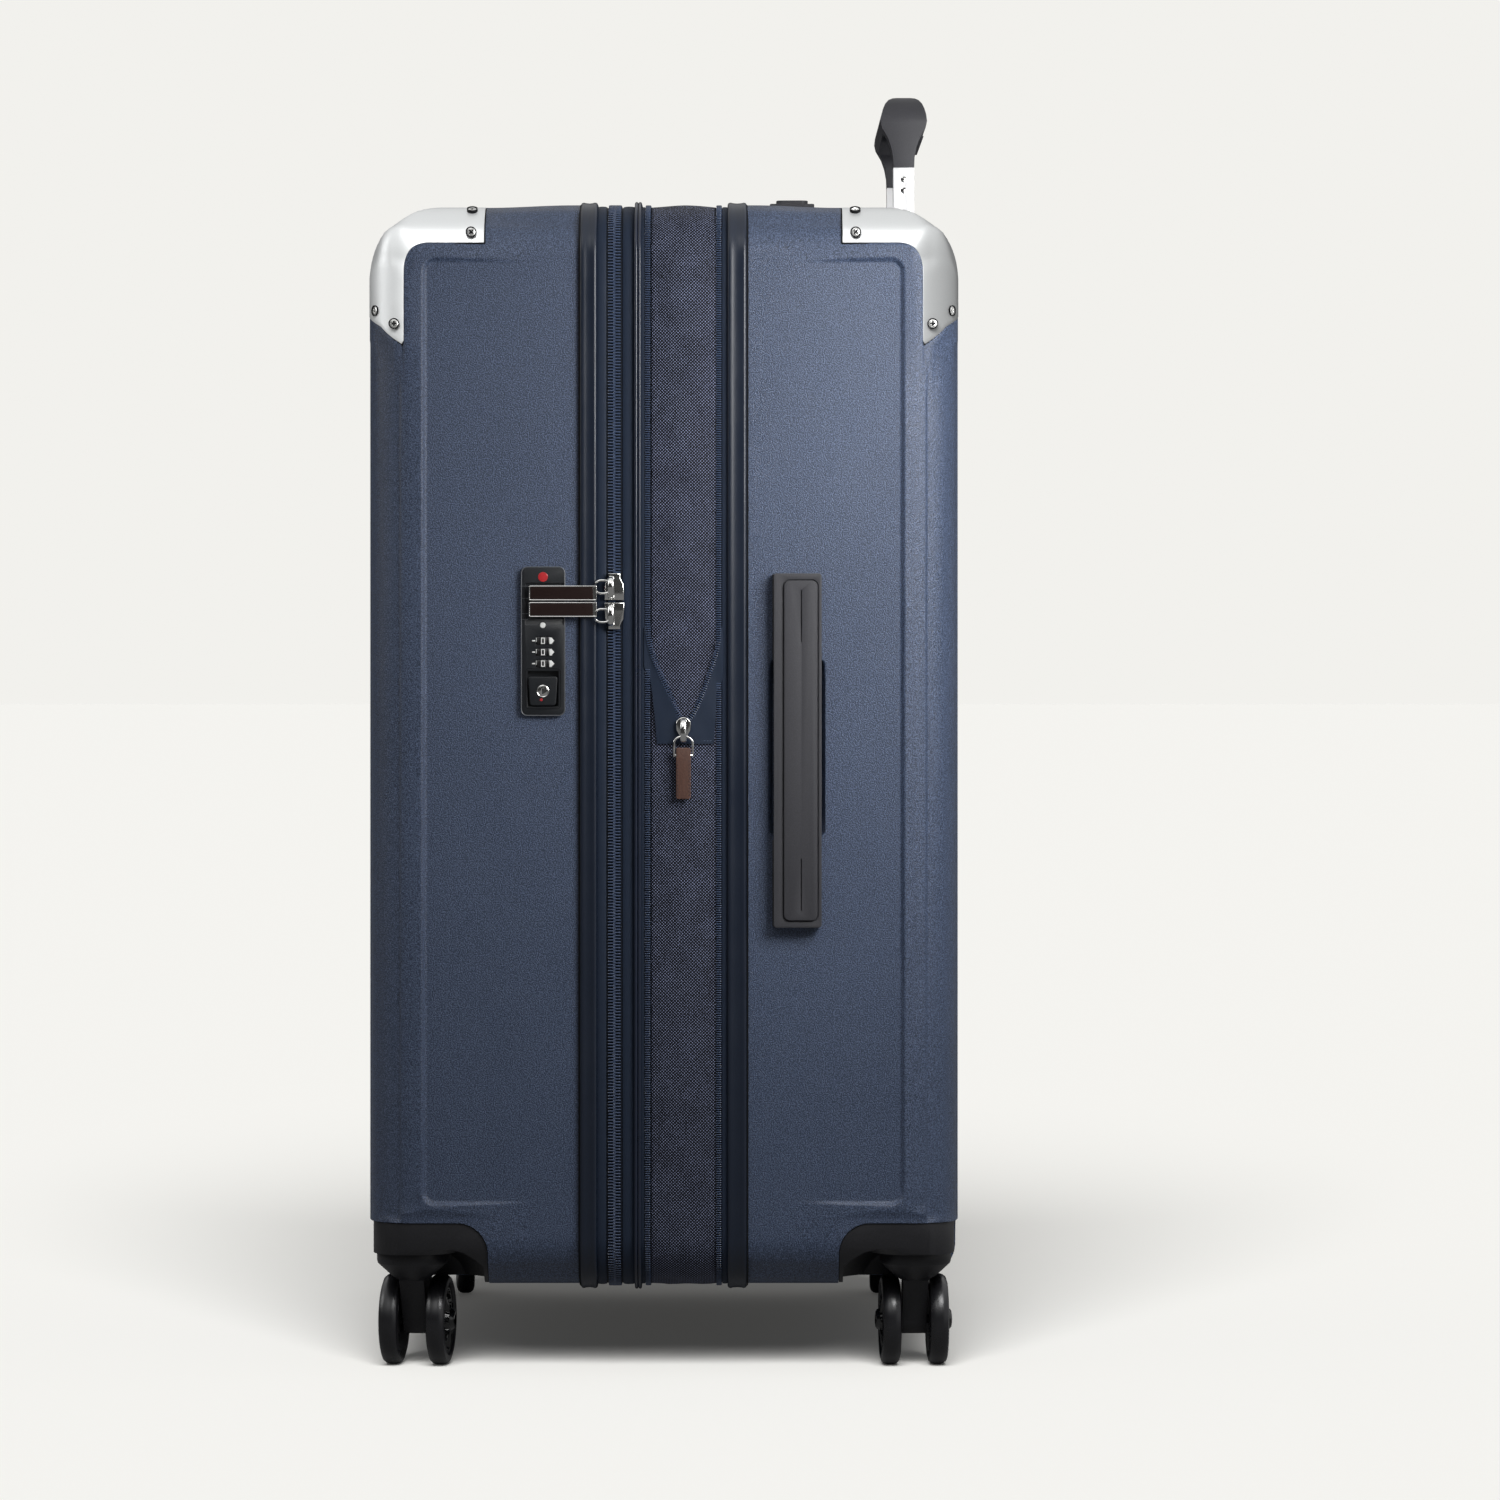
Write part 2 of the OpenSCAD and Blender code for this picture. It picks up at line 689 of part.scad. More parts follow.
// Framed pull lying over the lock. Its end bar turns inside the slider's bridge.
module pull(z, slider_at) {
    inner_x = half_w + 3;
    bar = 1.1;
    color("#a9abae") {
        difference() {
            span([inner_x, -88, z - 4.9], [inner_x + 2 * bar, pull_y - 9, z + 4.9]);
            span([inner_x + 1.4, -86.8, z - 3.7], [inner_x + 4, -47, z + 3.7]);
        }
        for (s = [-1, 1]) span([inner_x, pull_y - 9.5, slider_at + s * 3.6 - 1], [inner_x + 2 * bar, pull_y + 0.6, slider_at + s * 3.6 + 1]);
        span([inner_x, pull_y - 9.6, min(z - 4.9, slider_at - 4.6)], [inner_x + 2 * bar, pull_y - 7.4, max(z + 4.9, slider_at + 4.6)]);
        translate([inner_x + bar, pull_y, slider_at - 4]) cylinder(h = 8, r = bar);
    }
}

// Slider at the foot of the open expansion zip, with a nose and bridge for its ring.
module expansion_slider() {
    y = (gusset_front + gusset_back) / 2;
    x = half_w + 2.1;
    color("#c8c9cc") {
        along_x(x, x + 1.5) polygon([[y - 5, 420], [y + 5, 420], [y + 5, 427], [y + 3, 430.5], [y - 3, 430.5], [y - 5, 427]]);
        span([x, y - 2.6, 413.5], [x + 1.5, y + 2.6, 421]);
        for (z = [413.8, 419.6]) span([x + 1, y - 1.5, z], [x + 5.2, y + 1.5, z + 1.8]);
        span([x + 4, y - 1.5, 413.8], [x + 5.2, y + 1.5, 421.4]);
    }
}

// Ring that turns in the slider's bridge, with its tab below.
module expansion_pull() {
    y = (gusset_front + gusset_back) / 2;
    x = half_w + 4.7;
    color("#4a2f24") span([x - 1, y - 4.8, 376.5], [x + 1, y + 4.8, 410]);
    color("#c8c9cc") {
        translate([x, y - 6.2, ring_z]) rotate([-90, 0, 0]) cylinder(h = 12.4, r = 0.8);
        for (s = [-1, 1]) span([x - 0.8, y + s * 6.2 - 0.9, 404.5], [x + 0.8, y + s * 6.2 + 0.9, ring_z + 0.8]);
        span([x - 0.7, y - 6.2, 406], [x + 0.7, y + 6.2, 407.6]);
    }
}

back_shell();
back_rim();
back_zip_tape();
gusset();
back_lining();
tube_cover();
handle_tray();
outer_tubes();
tube_foot();
side_handle_base();
top_handle_base();
back_guards();
back_guard_screws();
back_housing_left();
back_housing_right();
back_straps();
strap_buckle();
side_handle_grip();
top_handle_grip();
inner_tubes();
handle_grip();
grip_screws();
handle_button();
release_rods();
mid_tape();
mid_piping();
hinge_web();
front_shell();
front_rim();
front_zip_tape();
front_lining();
divider_page();
front_guards();
front_guard_screws();
front_housing_left();
front_housing_right();
lock_body();
dial(dial_z[0]);  // lock_dial_1
dial(dial_z[1]);  // lock_dial_2
dial(dial_z[2]);  // lock_dial_3
lock_button();
key_cylinder();
slider(slider_z[0]);  // slider_upper
pull(pull_z[0], slider_z[0]);  // pull_upper
slider(slider_z[1]);  // slider_lower
pull(pull_z[1], slider_z[1]);  // pull_lower
expansion_slider();
expansion_pull();
for (c = CASTERS) {
    at_caster(c[0]) fork();
    at_caster(c[0]) wheel();
    at_caster(c[0]) mirror([0, 1, 0]) wheel();
}
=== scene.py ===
import json
import logging
import math
from dataclasses import dataclass
from enum import Enum
from typing import Callable, Dict, Iterable, List, Optional, Sequence, Tuple

import bmesh
import bpy
import numpy as np
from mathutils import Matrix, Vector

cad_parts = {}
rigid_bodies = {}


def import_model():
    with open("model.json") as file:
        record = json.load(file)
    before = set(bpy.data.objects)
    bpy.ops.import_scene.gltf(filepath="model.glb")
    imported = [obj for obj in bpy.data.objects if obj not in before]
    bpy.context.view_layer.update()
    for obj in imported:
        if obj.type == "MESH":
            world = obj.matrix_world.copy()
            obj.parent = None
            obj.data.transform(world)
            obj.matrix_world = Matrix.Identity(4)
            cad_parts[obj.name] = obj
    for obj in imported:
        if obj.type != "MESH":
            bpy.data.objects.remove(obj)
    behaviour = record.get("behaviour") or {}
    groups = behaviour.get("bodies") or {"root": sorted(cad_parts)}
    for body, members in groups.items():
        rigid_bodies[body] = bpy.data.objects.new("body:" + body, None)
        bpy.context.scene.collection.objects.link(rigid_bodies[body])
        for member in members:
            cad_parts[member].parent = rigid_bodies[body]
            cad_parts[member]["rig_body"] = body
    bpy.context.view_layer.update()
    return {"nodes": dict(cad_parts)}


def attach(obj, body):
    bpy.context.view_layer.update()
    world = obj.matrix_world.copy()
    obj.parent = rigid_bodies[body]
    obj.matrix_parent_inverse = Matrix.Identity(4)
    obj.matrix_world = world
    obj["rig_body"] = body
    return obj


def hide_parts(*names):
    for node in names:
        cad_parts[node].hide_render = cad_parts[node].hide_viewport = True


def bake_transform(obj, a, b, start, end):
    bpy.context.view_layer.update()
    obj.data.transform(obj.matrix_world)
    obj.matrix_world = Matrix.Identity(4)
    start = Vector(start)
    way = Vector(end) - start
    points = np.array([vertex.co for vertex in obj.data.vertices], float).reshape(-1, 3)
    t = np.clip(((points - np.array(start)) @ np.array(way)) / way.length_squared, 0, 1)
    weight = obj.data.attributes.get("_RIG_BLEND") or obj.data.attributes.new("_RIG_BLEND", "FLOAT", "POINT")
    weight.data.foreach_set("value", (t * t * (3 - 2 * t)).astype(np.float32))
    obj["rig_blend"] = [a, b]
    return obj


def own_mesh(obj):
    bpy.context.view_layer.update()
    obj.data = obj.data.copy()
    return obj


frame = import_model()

LOG = logging.getLogger("suitcase")
MM = 0.001
Colour = Tuple[float, float, float]


def linear(red: int, green: int, blue: int) -> Colour:
    """Turns a screen colour into the linear colour that shaders take.

    Args:
        red: Red, 0 to 255.
        green: Green, 0 to 255.
        blue: Blue, 0 to 255.

    Returns:
        The linear colour.
    """
    parts = [c / 255 for c in (red, green, blue)]
    return tuple(c / 12.92 if c <= 0.04045 else ((c + 0.055) / 1.055) ** 2.4 for c in parts)


def ease(start: float, end: float, value: np.ndarray) -> np.ndarray:
    """Rises smoothly from 0 at start to 1 at end, which may lie below start.

    Args:
        start: Value where it is 0.
        end: Value where it is 1.
        value: Values to ease.

    Returns:
        The eased values.
    """
    t = np.clip((value - start) / (end - start), 0, 1)
    return t * t * (3 - 2 * t)


def stops(*runs: Tuple[float, float, float]) -> np.ndarray:
    """Grid lines from runs of start, end and spacing.

    Args:
        *runs: Start, end and spacing of each run.

    Returns:
        The sorted lines, each once.
    """
    lines = [np.linspace(a, b, max(1, int(round(abs(b - a) / step))) + 1) for a, b, step in runs]
    return np.unique(np.round(np.concatenate(lines), 3))


def quads(rows: int, columns: int, wrap: bool = False) -> np.ndarray:
    """Faces of a grid whose points are numbered row by row.

    Args:
        rows: Number of rows of points.
        columns: Number of points in a row.
        wrap: Whether the last column joins the first.

    Returns:
        One row of four indices for each face.
    """
    across = np.arange(columns if wrap else columns - 1)
    i, j = np.meshgrid(np.arange(rows - 1), across, indexing="ij")
    k = (j + 1) % columns
    corners = [i * columns + j, i * columns + k, (i + 1) * columns + k, (i + 1) * columns + j]
    return np.stack(corners, -1).reshape(-1, 4)


class Weave(Enum):
    """How a cloth is made."""

    PLAIN = "plain"
    MESH = "mesh"
    WEBBING = "webbing"


def add_node(tree: bpy.types.NodeTree, kind: str, feeds: Optional[Dict[object, object]] = None,
             **settings: object) -> bpy.types.Node:
    """Adds a shader node.

    Args:
        tree: The tree that it goes in.
        kind: Its type, without the part that all types start with.
        feeds: Sockets or values for its inputs, by name or number.
        **settings: Its own settings.

    Returns:
        The node.
    """
    node = tree.nodes.new("ShaderNode" + kind)
    for label, value in settings.items():
        setattr(node, label, value)
    for key, feed in (feeds or {}).items():
        if isinstance(feed, bpy.types.NodeSocket):
            tree.links.new(feed, node.inputs[key])
        else:
            node.inputs[key].default_value = feed
    return node


class Effects:
    """Shader node groups that several finishes share."""

    _made: Dict[str, bpy.types.NodeTree] = {}
    _kinds = {"f": "NodeSocketFloat", "c": "NodeSocketColor"}

    @classmethod
    def _start(cls, name: str, inputs: Dict[str, object], outputs: Dict[str, str]) \
            -> Tuple[bpy.types.NodeTree, bpy.types.NodeOutputs, bpy.types.NodeInputs]:
        """Starts a group with its sockets.

        Args:
            name: The group's name.
            inputs: Value of each input, which is a colour where it is four numbers.
            outputs: Kind of each output, "c" for a colour and "f" for a number.

        Returns:
            The tree, what it is given and what it gives.
        """
        tree = bpy.data.node_groups.new(name, "ShaderNodeTree")
        for label, value in inputs.items():
            kind = cls._kinds["c" if isinstance(value, tuple) else "f"]
            socket = tree.interface.new_socket(name=label, in_out="INPUT", socket_type=kind)
            socket.default_value = value
        for label, kind in outputs.items():
            tree.interface.new_socket(name=label, in_out="OUTPUT", socket_type=cls._kinds[kind])
        cls._made[name] = tree
        return tree, tree.nodes.new("NodeGroupInput").outputs, tree.nodes.new("NodeGroupOutput").inputs

    @staticmethod
    def _mixed(tree: bpy.types.NodeTree, share: bpy.types.NodeSocket, first: object, second: object) \
            -> bpy.types.NodeSocket:
        """Mixes two colours.

        Args:
            tree: The tree.
            share: The second one's share.
            first: The colour at 0.
            second: The colour at 1.

        Returns:
            The colour.
        """
        return add_node(tree, "Mix", {0: share, 6: first, 7: second}, data_type="RGBA").outputs[2]

    @staticmethod
    def _maths(tree: bpy.types.NodeTree, kind: str, *feeds: object) -> bpy.types.NodeSocket:
        """Adds a maths node.

        Args:
            tree: The tree.
            kind: Its operation.
            *feeds: Sockets or numbers, in order.

        Returns:
            Its output.
        """
        return add_node(tree, "Math", dict(enumerate(feeds)), operation=kind).outputs[0]

    @classmethod
    def grain(cls) -> bpy.types.NodeTree:
        """Pebbled grain: a colour that varies with fine flecks, and a height."""
        if "grain" in cls._made:
            return cls._made["grain"]
        tree, given, out = cls._start(
            "grain", {"Colour": (0.5, 0.5, 0.5, 1), "Fleck": (0.6, 0.6, 0.6, 1), "Size": 900.0, "Amount": 0.5,
                      "Cloud": 0.1}, {"Colour": "c", "Height": "f", "Mask": "f"})
        place = add_node(tree, "TexCoord").outputs["Object"]
        fine = add_node(tree, "TexNoise", {"Vector": place, "Scale": given["Size"], "Detail": 4.0}).outputs["Fac"]
        broad = add_node(tree, "TexNoise", {"Vector": place, "Scale": 9.0}).outputs["Fac"]
        sharpened = add_node(tree, "MapRange", {"Value": fine, "From Min": 0.42, "From Max": 0.68}).outputs["Result"]
        amount = cls._maths(tree, "MULTIPLY", sharpened, given["Amount"])
        cloud = cls._maths(tree, "MULTIPLY_ADD", broad, given["Cloud"], amount)
        tree.links.new(cls._mixed(tree, cloud, given["Colour"], given["Fleck"]), out["Colour"])
        tree.links.new(fine, out["Height"])
        tree.links.new(broad, out["Mask"])
        return tree

    @classmethod
    def cloth(cls) -> bpy.types.NodeTree:
        """Threads over and under each other, from the piece's own lengths."""
        if "cloth" in cls._made:
            return cls._made["cloth"]
        tree, given, out = cls._start(
            "cloth", {"Thread": (0.5, 0.5, 0.5, 1), "Gap": (0.1, 0.1, 0.1, 1), "Along": 1000.0, "Across": 1000.0,
                      "Stagger": 1.0, "Open": 0.5}, {"Colour": "c", "Height": "f"})
        place = add_node(tree, "UVMap").outputs["UV"]
        split = add_node(tree, "SeparateXYZ", {0: place}).outputs
        u = cls._maths(tree, "MULTIPLY", split[0], given["Along"])
        v = cls._maths(tree, "MULTIPLY", split[1], given["Across"])
        lean = cls._maths(tree, "MULTIPLY", v, given["Stagger"])
        waves = [cls._maths(tree, "SINE", cls._maths(tree, "MULTIPLY", cls._maths(tree, kind, u, lean), math.pi))
                 for kind in ("ADD", "SUBTRACT")]
        both = cls._maths(tree, "ABSOLUTE", cls._maths(tree, "MULTIPLY", *waves))
        noise = add_node(tree, "TexNoise", {"Vector": place, "Scale": 60.0}).outputs["Fac"]
        uneven = cls._maths(tree, "MULTIPLY_ADD", noise, 0.3, cls._maths(tree, "SUBTRACT", both, 0.15))
        share = add_node(tree, "MapRange", {"Value": uneven, "From Min": given["Open"], "From Max": 0.95})
        share = share.outputs["Result"]
        tree.links.new(cls._mixed(tree, share, given["Gap"], given["Thread"]), out["Colour"])
        tree.links.new(share, out["Height"])
        return tree

    @classmethod
    def rub(cls) -> bpy.types.NodeTree:
        """Roughness that varies with handling: soft clouds and fine scuffs."""
        if "rub" in cls._made:
            return cls._made["rub"]
        tree, given, out = cls._start("rub", {"Smooth": 0.3, "Rough": 0.5, "Scale": 30.0},
                                      {"Roughness": "f", "Height": "f"})
        place = add_node(tree, "TexCoord").outputs["Object"]
        noise = add_node(tree, "TexNoise", {"Vector": place, "Scale": given["Scale"], "Detail": 6.0,
                                            "Roughness": 0.7}).outputs["Fac"]
        ranged = add_node(tree, "MapRange", {"Value": noise, "From Min": 0.3, "From Max": 0.7,
                                             "To Min": given["Smooth"], "To Max": given["Rough"]})
        tree.links.new(ranged.outputs["Result"], out["Roughness"])
        tree.links.new(noise, out["Height"])
        return tree


@dataclass(frozen=True)
class Finish:
    """A finish of one of the case's materials, grained or smooth."""

    name: str
    colour: Colour
    fleck: Colour
    slot: str
    roughness: Tuple[float, float] = (0.4, 0.5)
    metallic: float = 0.0
    grain_size: float = 900.0
    grain_amount: float = 0.4
    cloud: float = 0.15
    bump: float = 0.2
    bump_depth: float = 0.2
    coat: float = 0.0
    coat_roughness: float = 0.1
    sheen: float = 0.0
    anisotropic: float = 0.0
    specular: float = 0.5

    def _pattern(self, tree: bpy.types.NodeTree) -> bpy.types.Node:
        """Places the effect that colours the finish.

        Args:
            tree: The material's tree.

        Returns:
            The effect's node.
        """
        return add_node(tree, "Group", {
            "Colour": (*self.colour, 1), "Fleck": (*self.fleck, 1), "Size": self.grain_size,
            "Amount": self.grain_amount, "Cloud": self.cloud}, node_tree=Effects.grain())

    def build(self) -> bpy.types.Material:
        """Makes the material, once.

        Returns:
            The material.
        """
        found = bpy.data.materials.get(self.name)
        if found:
            return found
        made = bpy.data.materials.new(self.name)
        made.use_nodes = True
        made.diffuse_color = (*self.colour, 1)
        tree = made.node_tree
        shader = next(x for x in tree.nodes if x.type == "BSDF_PRINCIPLED")
        for label, value in (("Metallic", self.metallic), ("Coat Weight", self.coat),
                             ("Coat Roughness", self.coat_roughness), ("Sheen Weight", self.sheen),
                             ("Anisotropic", self.anisotropic), ("Specular IOR Level", self.specular)):
            shader.inputs[label].default_value = value
        pattern = self._pattern(tree)
        rub = add_node(tree, "Group", dict(zip(("Smooth", "Rough"), self.roughness)), node_tree=Effects.rub())
        bump = add_node(tree, "Bump", {"Strength": self.bump, "Distance": self.bump_depth * MM,
                                       "Height": pattern.outputs["Height"]})
        tree.links.new(pattern.outputs["Colour"], shader.inputs["Base Color"])
        tree.links.new(rub.outputs["Roughness"], shader.inputs["Roughness"])
        tree.links.new(bump.outputs["Normal"], shader.inputs["Normal"])
        return made


@dataclass(frozen=True)
class Cloth(Finish):
    """A cloth with threads, whose pitch is in millimetres."""

    weave: Weave = Weave.PLAIN
    pitch: Tuple[float, float] = (1.0, 1.0)
    gap_share: float = 0.1

    def _pattern(self, tree: bpy.types.NodeTree) -> bpy.types.Node:
        """Places the effect that colours the cloth.

        Args:
            tree: The material's tree.

        Returns:
            The effect's node.
        """
        return add_node(tree, "Group", {
            "Thread": (*self.colour, 1), "Gap": (*self.fleck, 1), "Along": 1000 / self.pitch[0],
            "Across": 1000 / self.pitch[1], "Open": self.gap_share,
            "Stagger": {Weave.PLAIN: 0.0, Weave.MESH: 1.0, Weave.WEBBING: 0.5}[self.weave]},
            node_tree=Effects.cloth())


SHELL = Finish("navy_polycarbonate", linear(32, 42, 60), linear(102, 118, 150), "shell_navy", (0.36, 0.48),
               grain_size=1350, grain_amount=0.72, cloud=0.1, bump=0.8, bump_depth=0.5, specular=0.5)
TRIM = Finish("navy_trim", linear(17, 26, 41), linear(24, 34, 51), "trim_navy", (0.3, 0.4),
              grain_amount=0.2, bump=0.02)
# Near-black finish for painted shade: dark strips and rims set into gaps and round parts where shadow falls.
SHADE_BLACK = Finish("black_painted_shade", linear(6, 7, 10), linear(9, 10, 13), "trim_navy", (0.6, 0.7), bump=0.05, specular=0.2)
# Dark strip under the zip teeth, darker than the tape: painted shade under and between the teeth.
TEETH_SHADE = Finish("zip_teeth_shade", linear(12, 18, 28), linear(18, 26, 38), "zip_tape", (0.6, 0.7), bump=0.1,
                 specular=0.2)
TAPE = Cloth("zip_tape_cloth", linear(25, 39, 60), linear(17, 28, 44), "zip_tape", (0.6, 0.72), sheen=0.04,
             bump=0.15, pitch=(0.7, 0.5), gap_share=0.1, specular=0.3)
TEETH = Finish("zip_teeth", linear(48, 62, 88), linear(66, 82, 110), "zip_tape", (0.18, 0.26), grain_amount=0.3,
               bump=0.05, specular=0.7)
PIPING = Finish("glossy_piping", linear(22, 30, 47), linear(30, 39, 57), "trim_navy", (0.26, 0.36), coat=0.1,
                grain_amount=0.2, bump=0.05)
MESH = Cloth("gusset_mesh", linear(124, 132, 162), linear(7, 9, 17), "mesh_fabric", (0.55, 0.7), sheen=0.03,
             bump=0.6, bump_depth=0.35, weave=Weave.MESH, pitch=(2.1, 2.1), gap_share=0.46, specular=0.2)
GUARD = Finish("satin_silver", linear(204, 206, 206), linear(220, 221, 221), "guard_silver", (0.42, 0.5), 0.5,
               grain_size=2200, grain_amount=0.25, cloud=0.1, bump=0.05, bump_depth=0.05)
CHROME = Finish("bright_chrome", linear(222, 222, 220), linear(236, 236, 235), "chrome", (0.07, 0.16), 1.0,
                grain_amount=0.1, bump=0.02, bump_depth=0.05)
SCREW = Finish("screw_steel", linear(206, 206, 204), linear(220, 220, 218), "chrome", (0.2, 0.3), 0.7, bump=0.02)
STEEL = Finish("zinc_steel", linear(150, 152, 156), linear(178, 180, 184), "steel", (0.25, 0.4), 1.0, bump=0.05)
PLASTIC = Finish("black_moulding", linear(28, 28, 31), linear(46, 46, 50), "black_plastic", (0.36, 0.48),
                 grain_size=1100, grain_amount=0.3, bump=0.3, bump_depth=0.25, specular=0.4)
RUBBER = Finish("soft_grip", linear(52, 52, 56), linear(68, 68, 73), "grip_rubber", (0.5, 0.6),
                grain_size=1100, grain_amount=0.3, bump=0.25, bump_depth=0.15, specular=0.4)
LOCK = Finish("lock_moulding", linear(25, 27, 30), linear(38, 41, 45), "lock_black", (0.34, 0.46),
              grain_size=1400, grain_amount=0.3, bump=0.15, specular=0.35)
DIAL = Finish("dial_black", linear(10, 10, 12), linear(16, 16, 18), "lock_black", (0.3, 0.4), bump=0.05)
GLOSS = Finish("wheel_gloss", linear(14, 14, 16), linear(24, 24, 26), "wheel_black", (0.12, 0.22), coat=0.4,
               grain_amount=0.2, bump=0.03)
TYRE = Finish("wheel_tread", linear(28, 28, 31), linear(40, 40, 44), "wheel_black", (0.24, 0.38), grain_amount=0.2,
              bump=0.08)
EDGING = Finish("lock_edge", linear(74, 77, 82), linear(92, 95, 100), "lock_black", (0.3, 0.4), bump=0.05)
LEATHER = Finish("brown_leather", linear(74, 50, 42), linear(98, 68, 56), "pull_leather", (0.4, 0.55),
                 grain_size=700, grain_amount=0.4, cloud=0.3, bump=0.4, bump_depth=0.3)
INLAY = Finish("dark_inlay", linear(30, 19, 17), linear(42, 27, 24), "pull_leather", (0.25, 0.4), grain_size=800,
               grain_amount=0.3, bump=0.15, specular=0.3)
TUBE = Finish("bright_tube", linear(244, 244, 245), linear(250, 250, 250), "aluminium", (0.34, 0.44), 0.2,
              grain_size=1500, grain_amount=0.2, bump=0.04, bump_depth=0.05)
GUIDE = Finish("dull_tube", linear(150, 154, 158), linear(176, 180, 184), "aluminium", (0.35, 0.5), 1.0, bump=0.05)
LINING = Cloth("lining_cloth", linear(84, 90, 104), linear(62, 67, 80), "lining_fabric", (0.6, 0.75), sheen=0.1,
               bump=0.3, bump_depth=0.2, pitch=(1.1, 1.1), gap_share=0.05)
POCKET = Cloth("pocket_mesh", linear(58, 64, 78), linear(20, 22, 30), "lining_fabric", (0.6, 0.75), sheen=0.05,
               bump=0.4, bump_depth=0.3, weave=Weave.MESH, pitch=(2.0, 2.0), gap_share=0.3)
BINDING = Cloth("binding_tape", linear(30, 38, 56), linear(22, 28, 42), "lining_fabric", (0.55, 0.7), bump=0.3,
                pitch=(0.8, 0.8), gap_share=0.1)
STRAP = Cloth("strap_web", linear(48, 56, 78), linear(26, 32, 48), "strap_webbing", (0.55, 0.7), sheen=0.1,
              bump=0.6, bump_depth=0.4, weave=Weave.WEBBING, pitch=(2.2, 1.6), gap_share=0.1)
THREAD = Finish("stitching", linear(58, 70, 94), linear(80, 92, 116), "zip_tape", (0.6, 0.7), grain_size=2500,
                grain_amount=0.6, bump=0.3)
PRINT = Finish("white_print", linear(225, 226, 224), linear(236, 236, 234), "lock_black", (0.5, 0.6), bump=0.02)
RED = Finish("red_inlay", linear(176, 34, 40), linear(200, 56, 58), "lock_black", (0.3, 0.4), bump=0.02, coat=0.3)


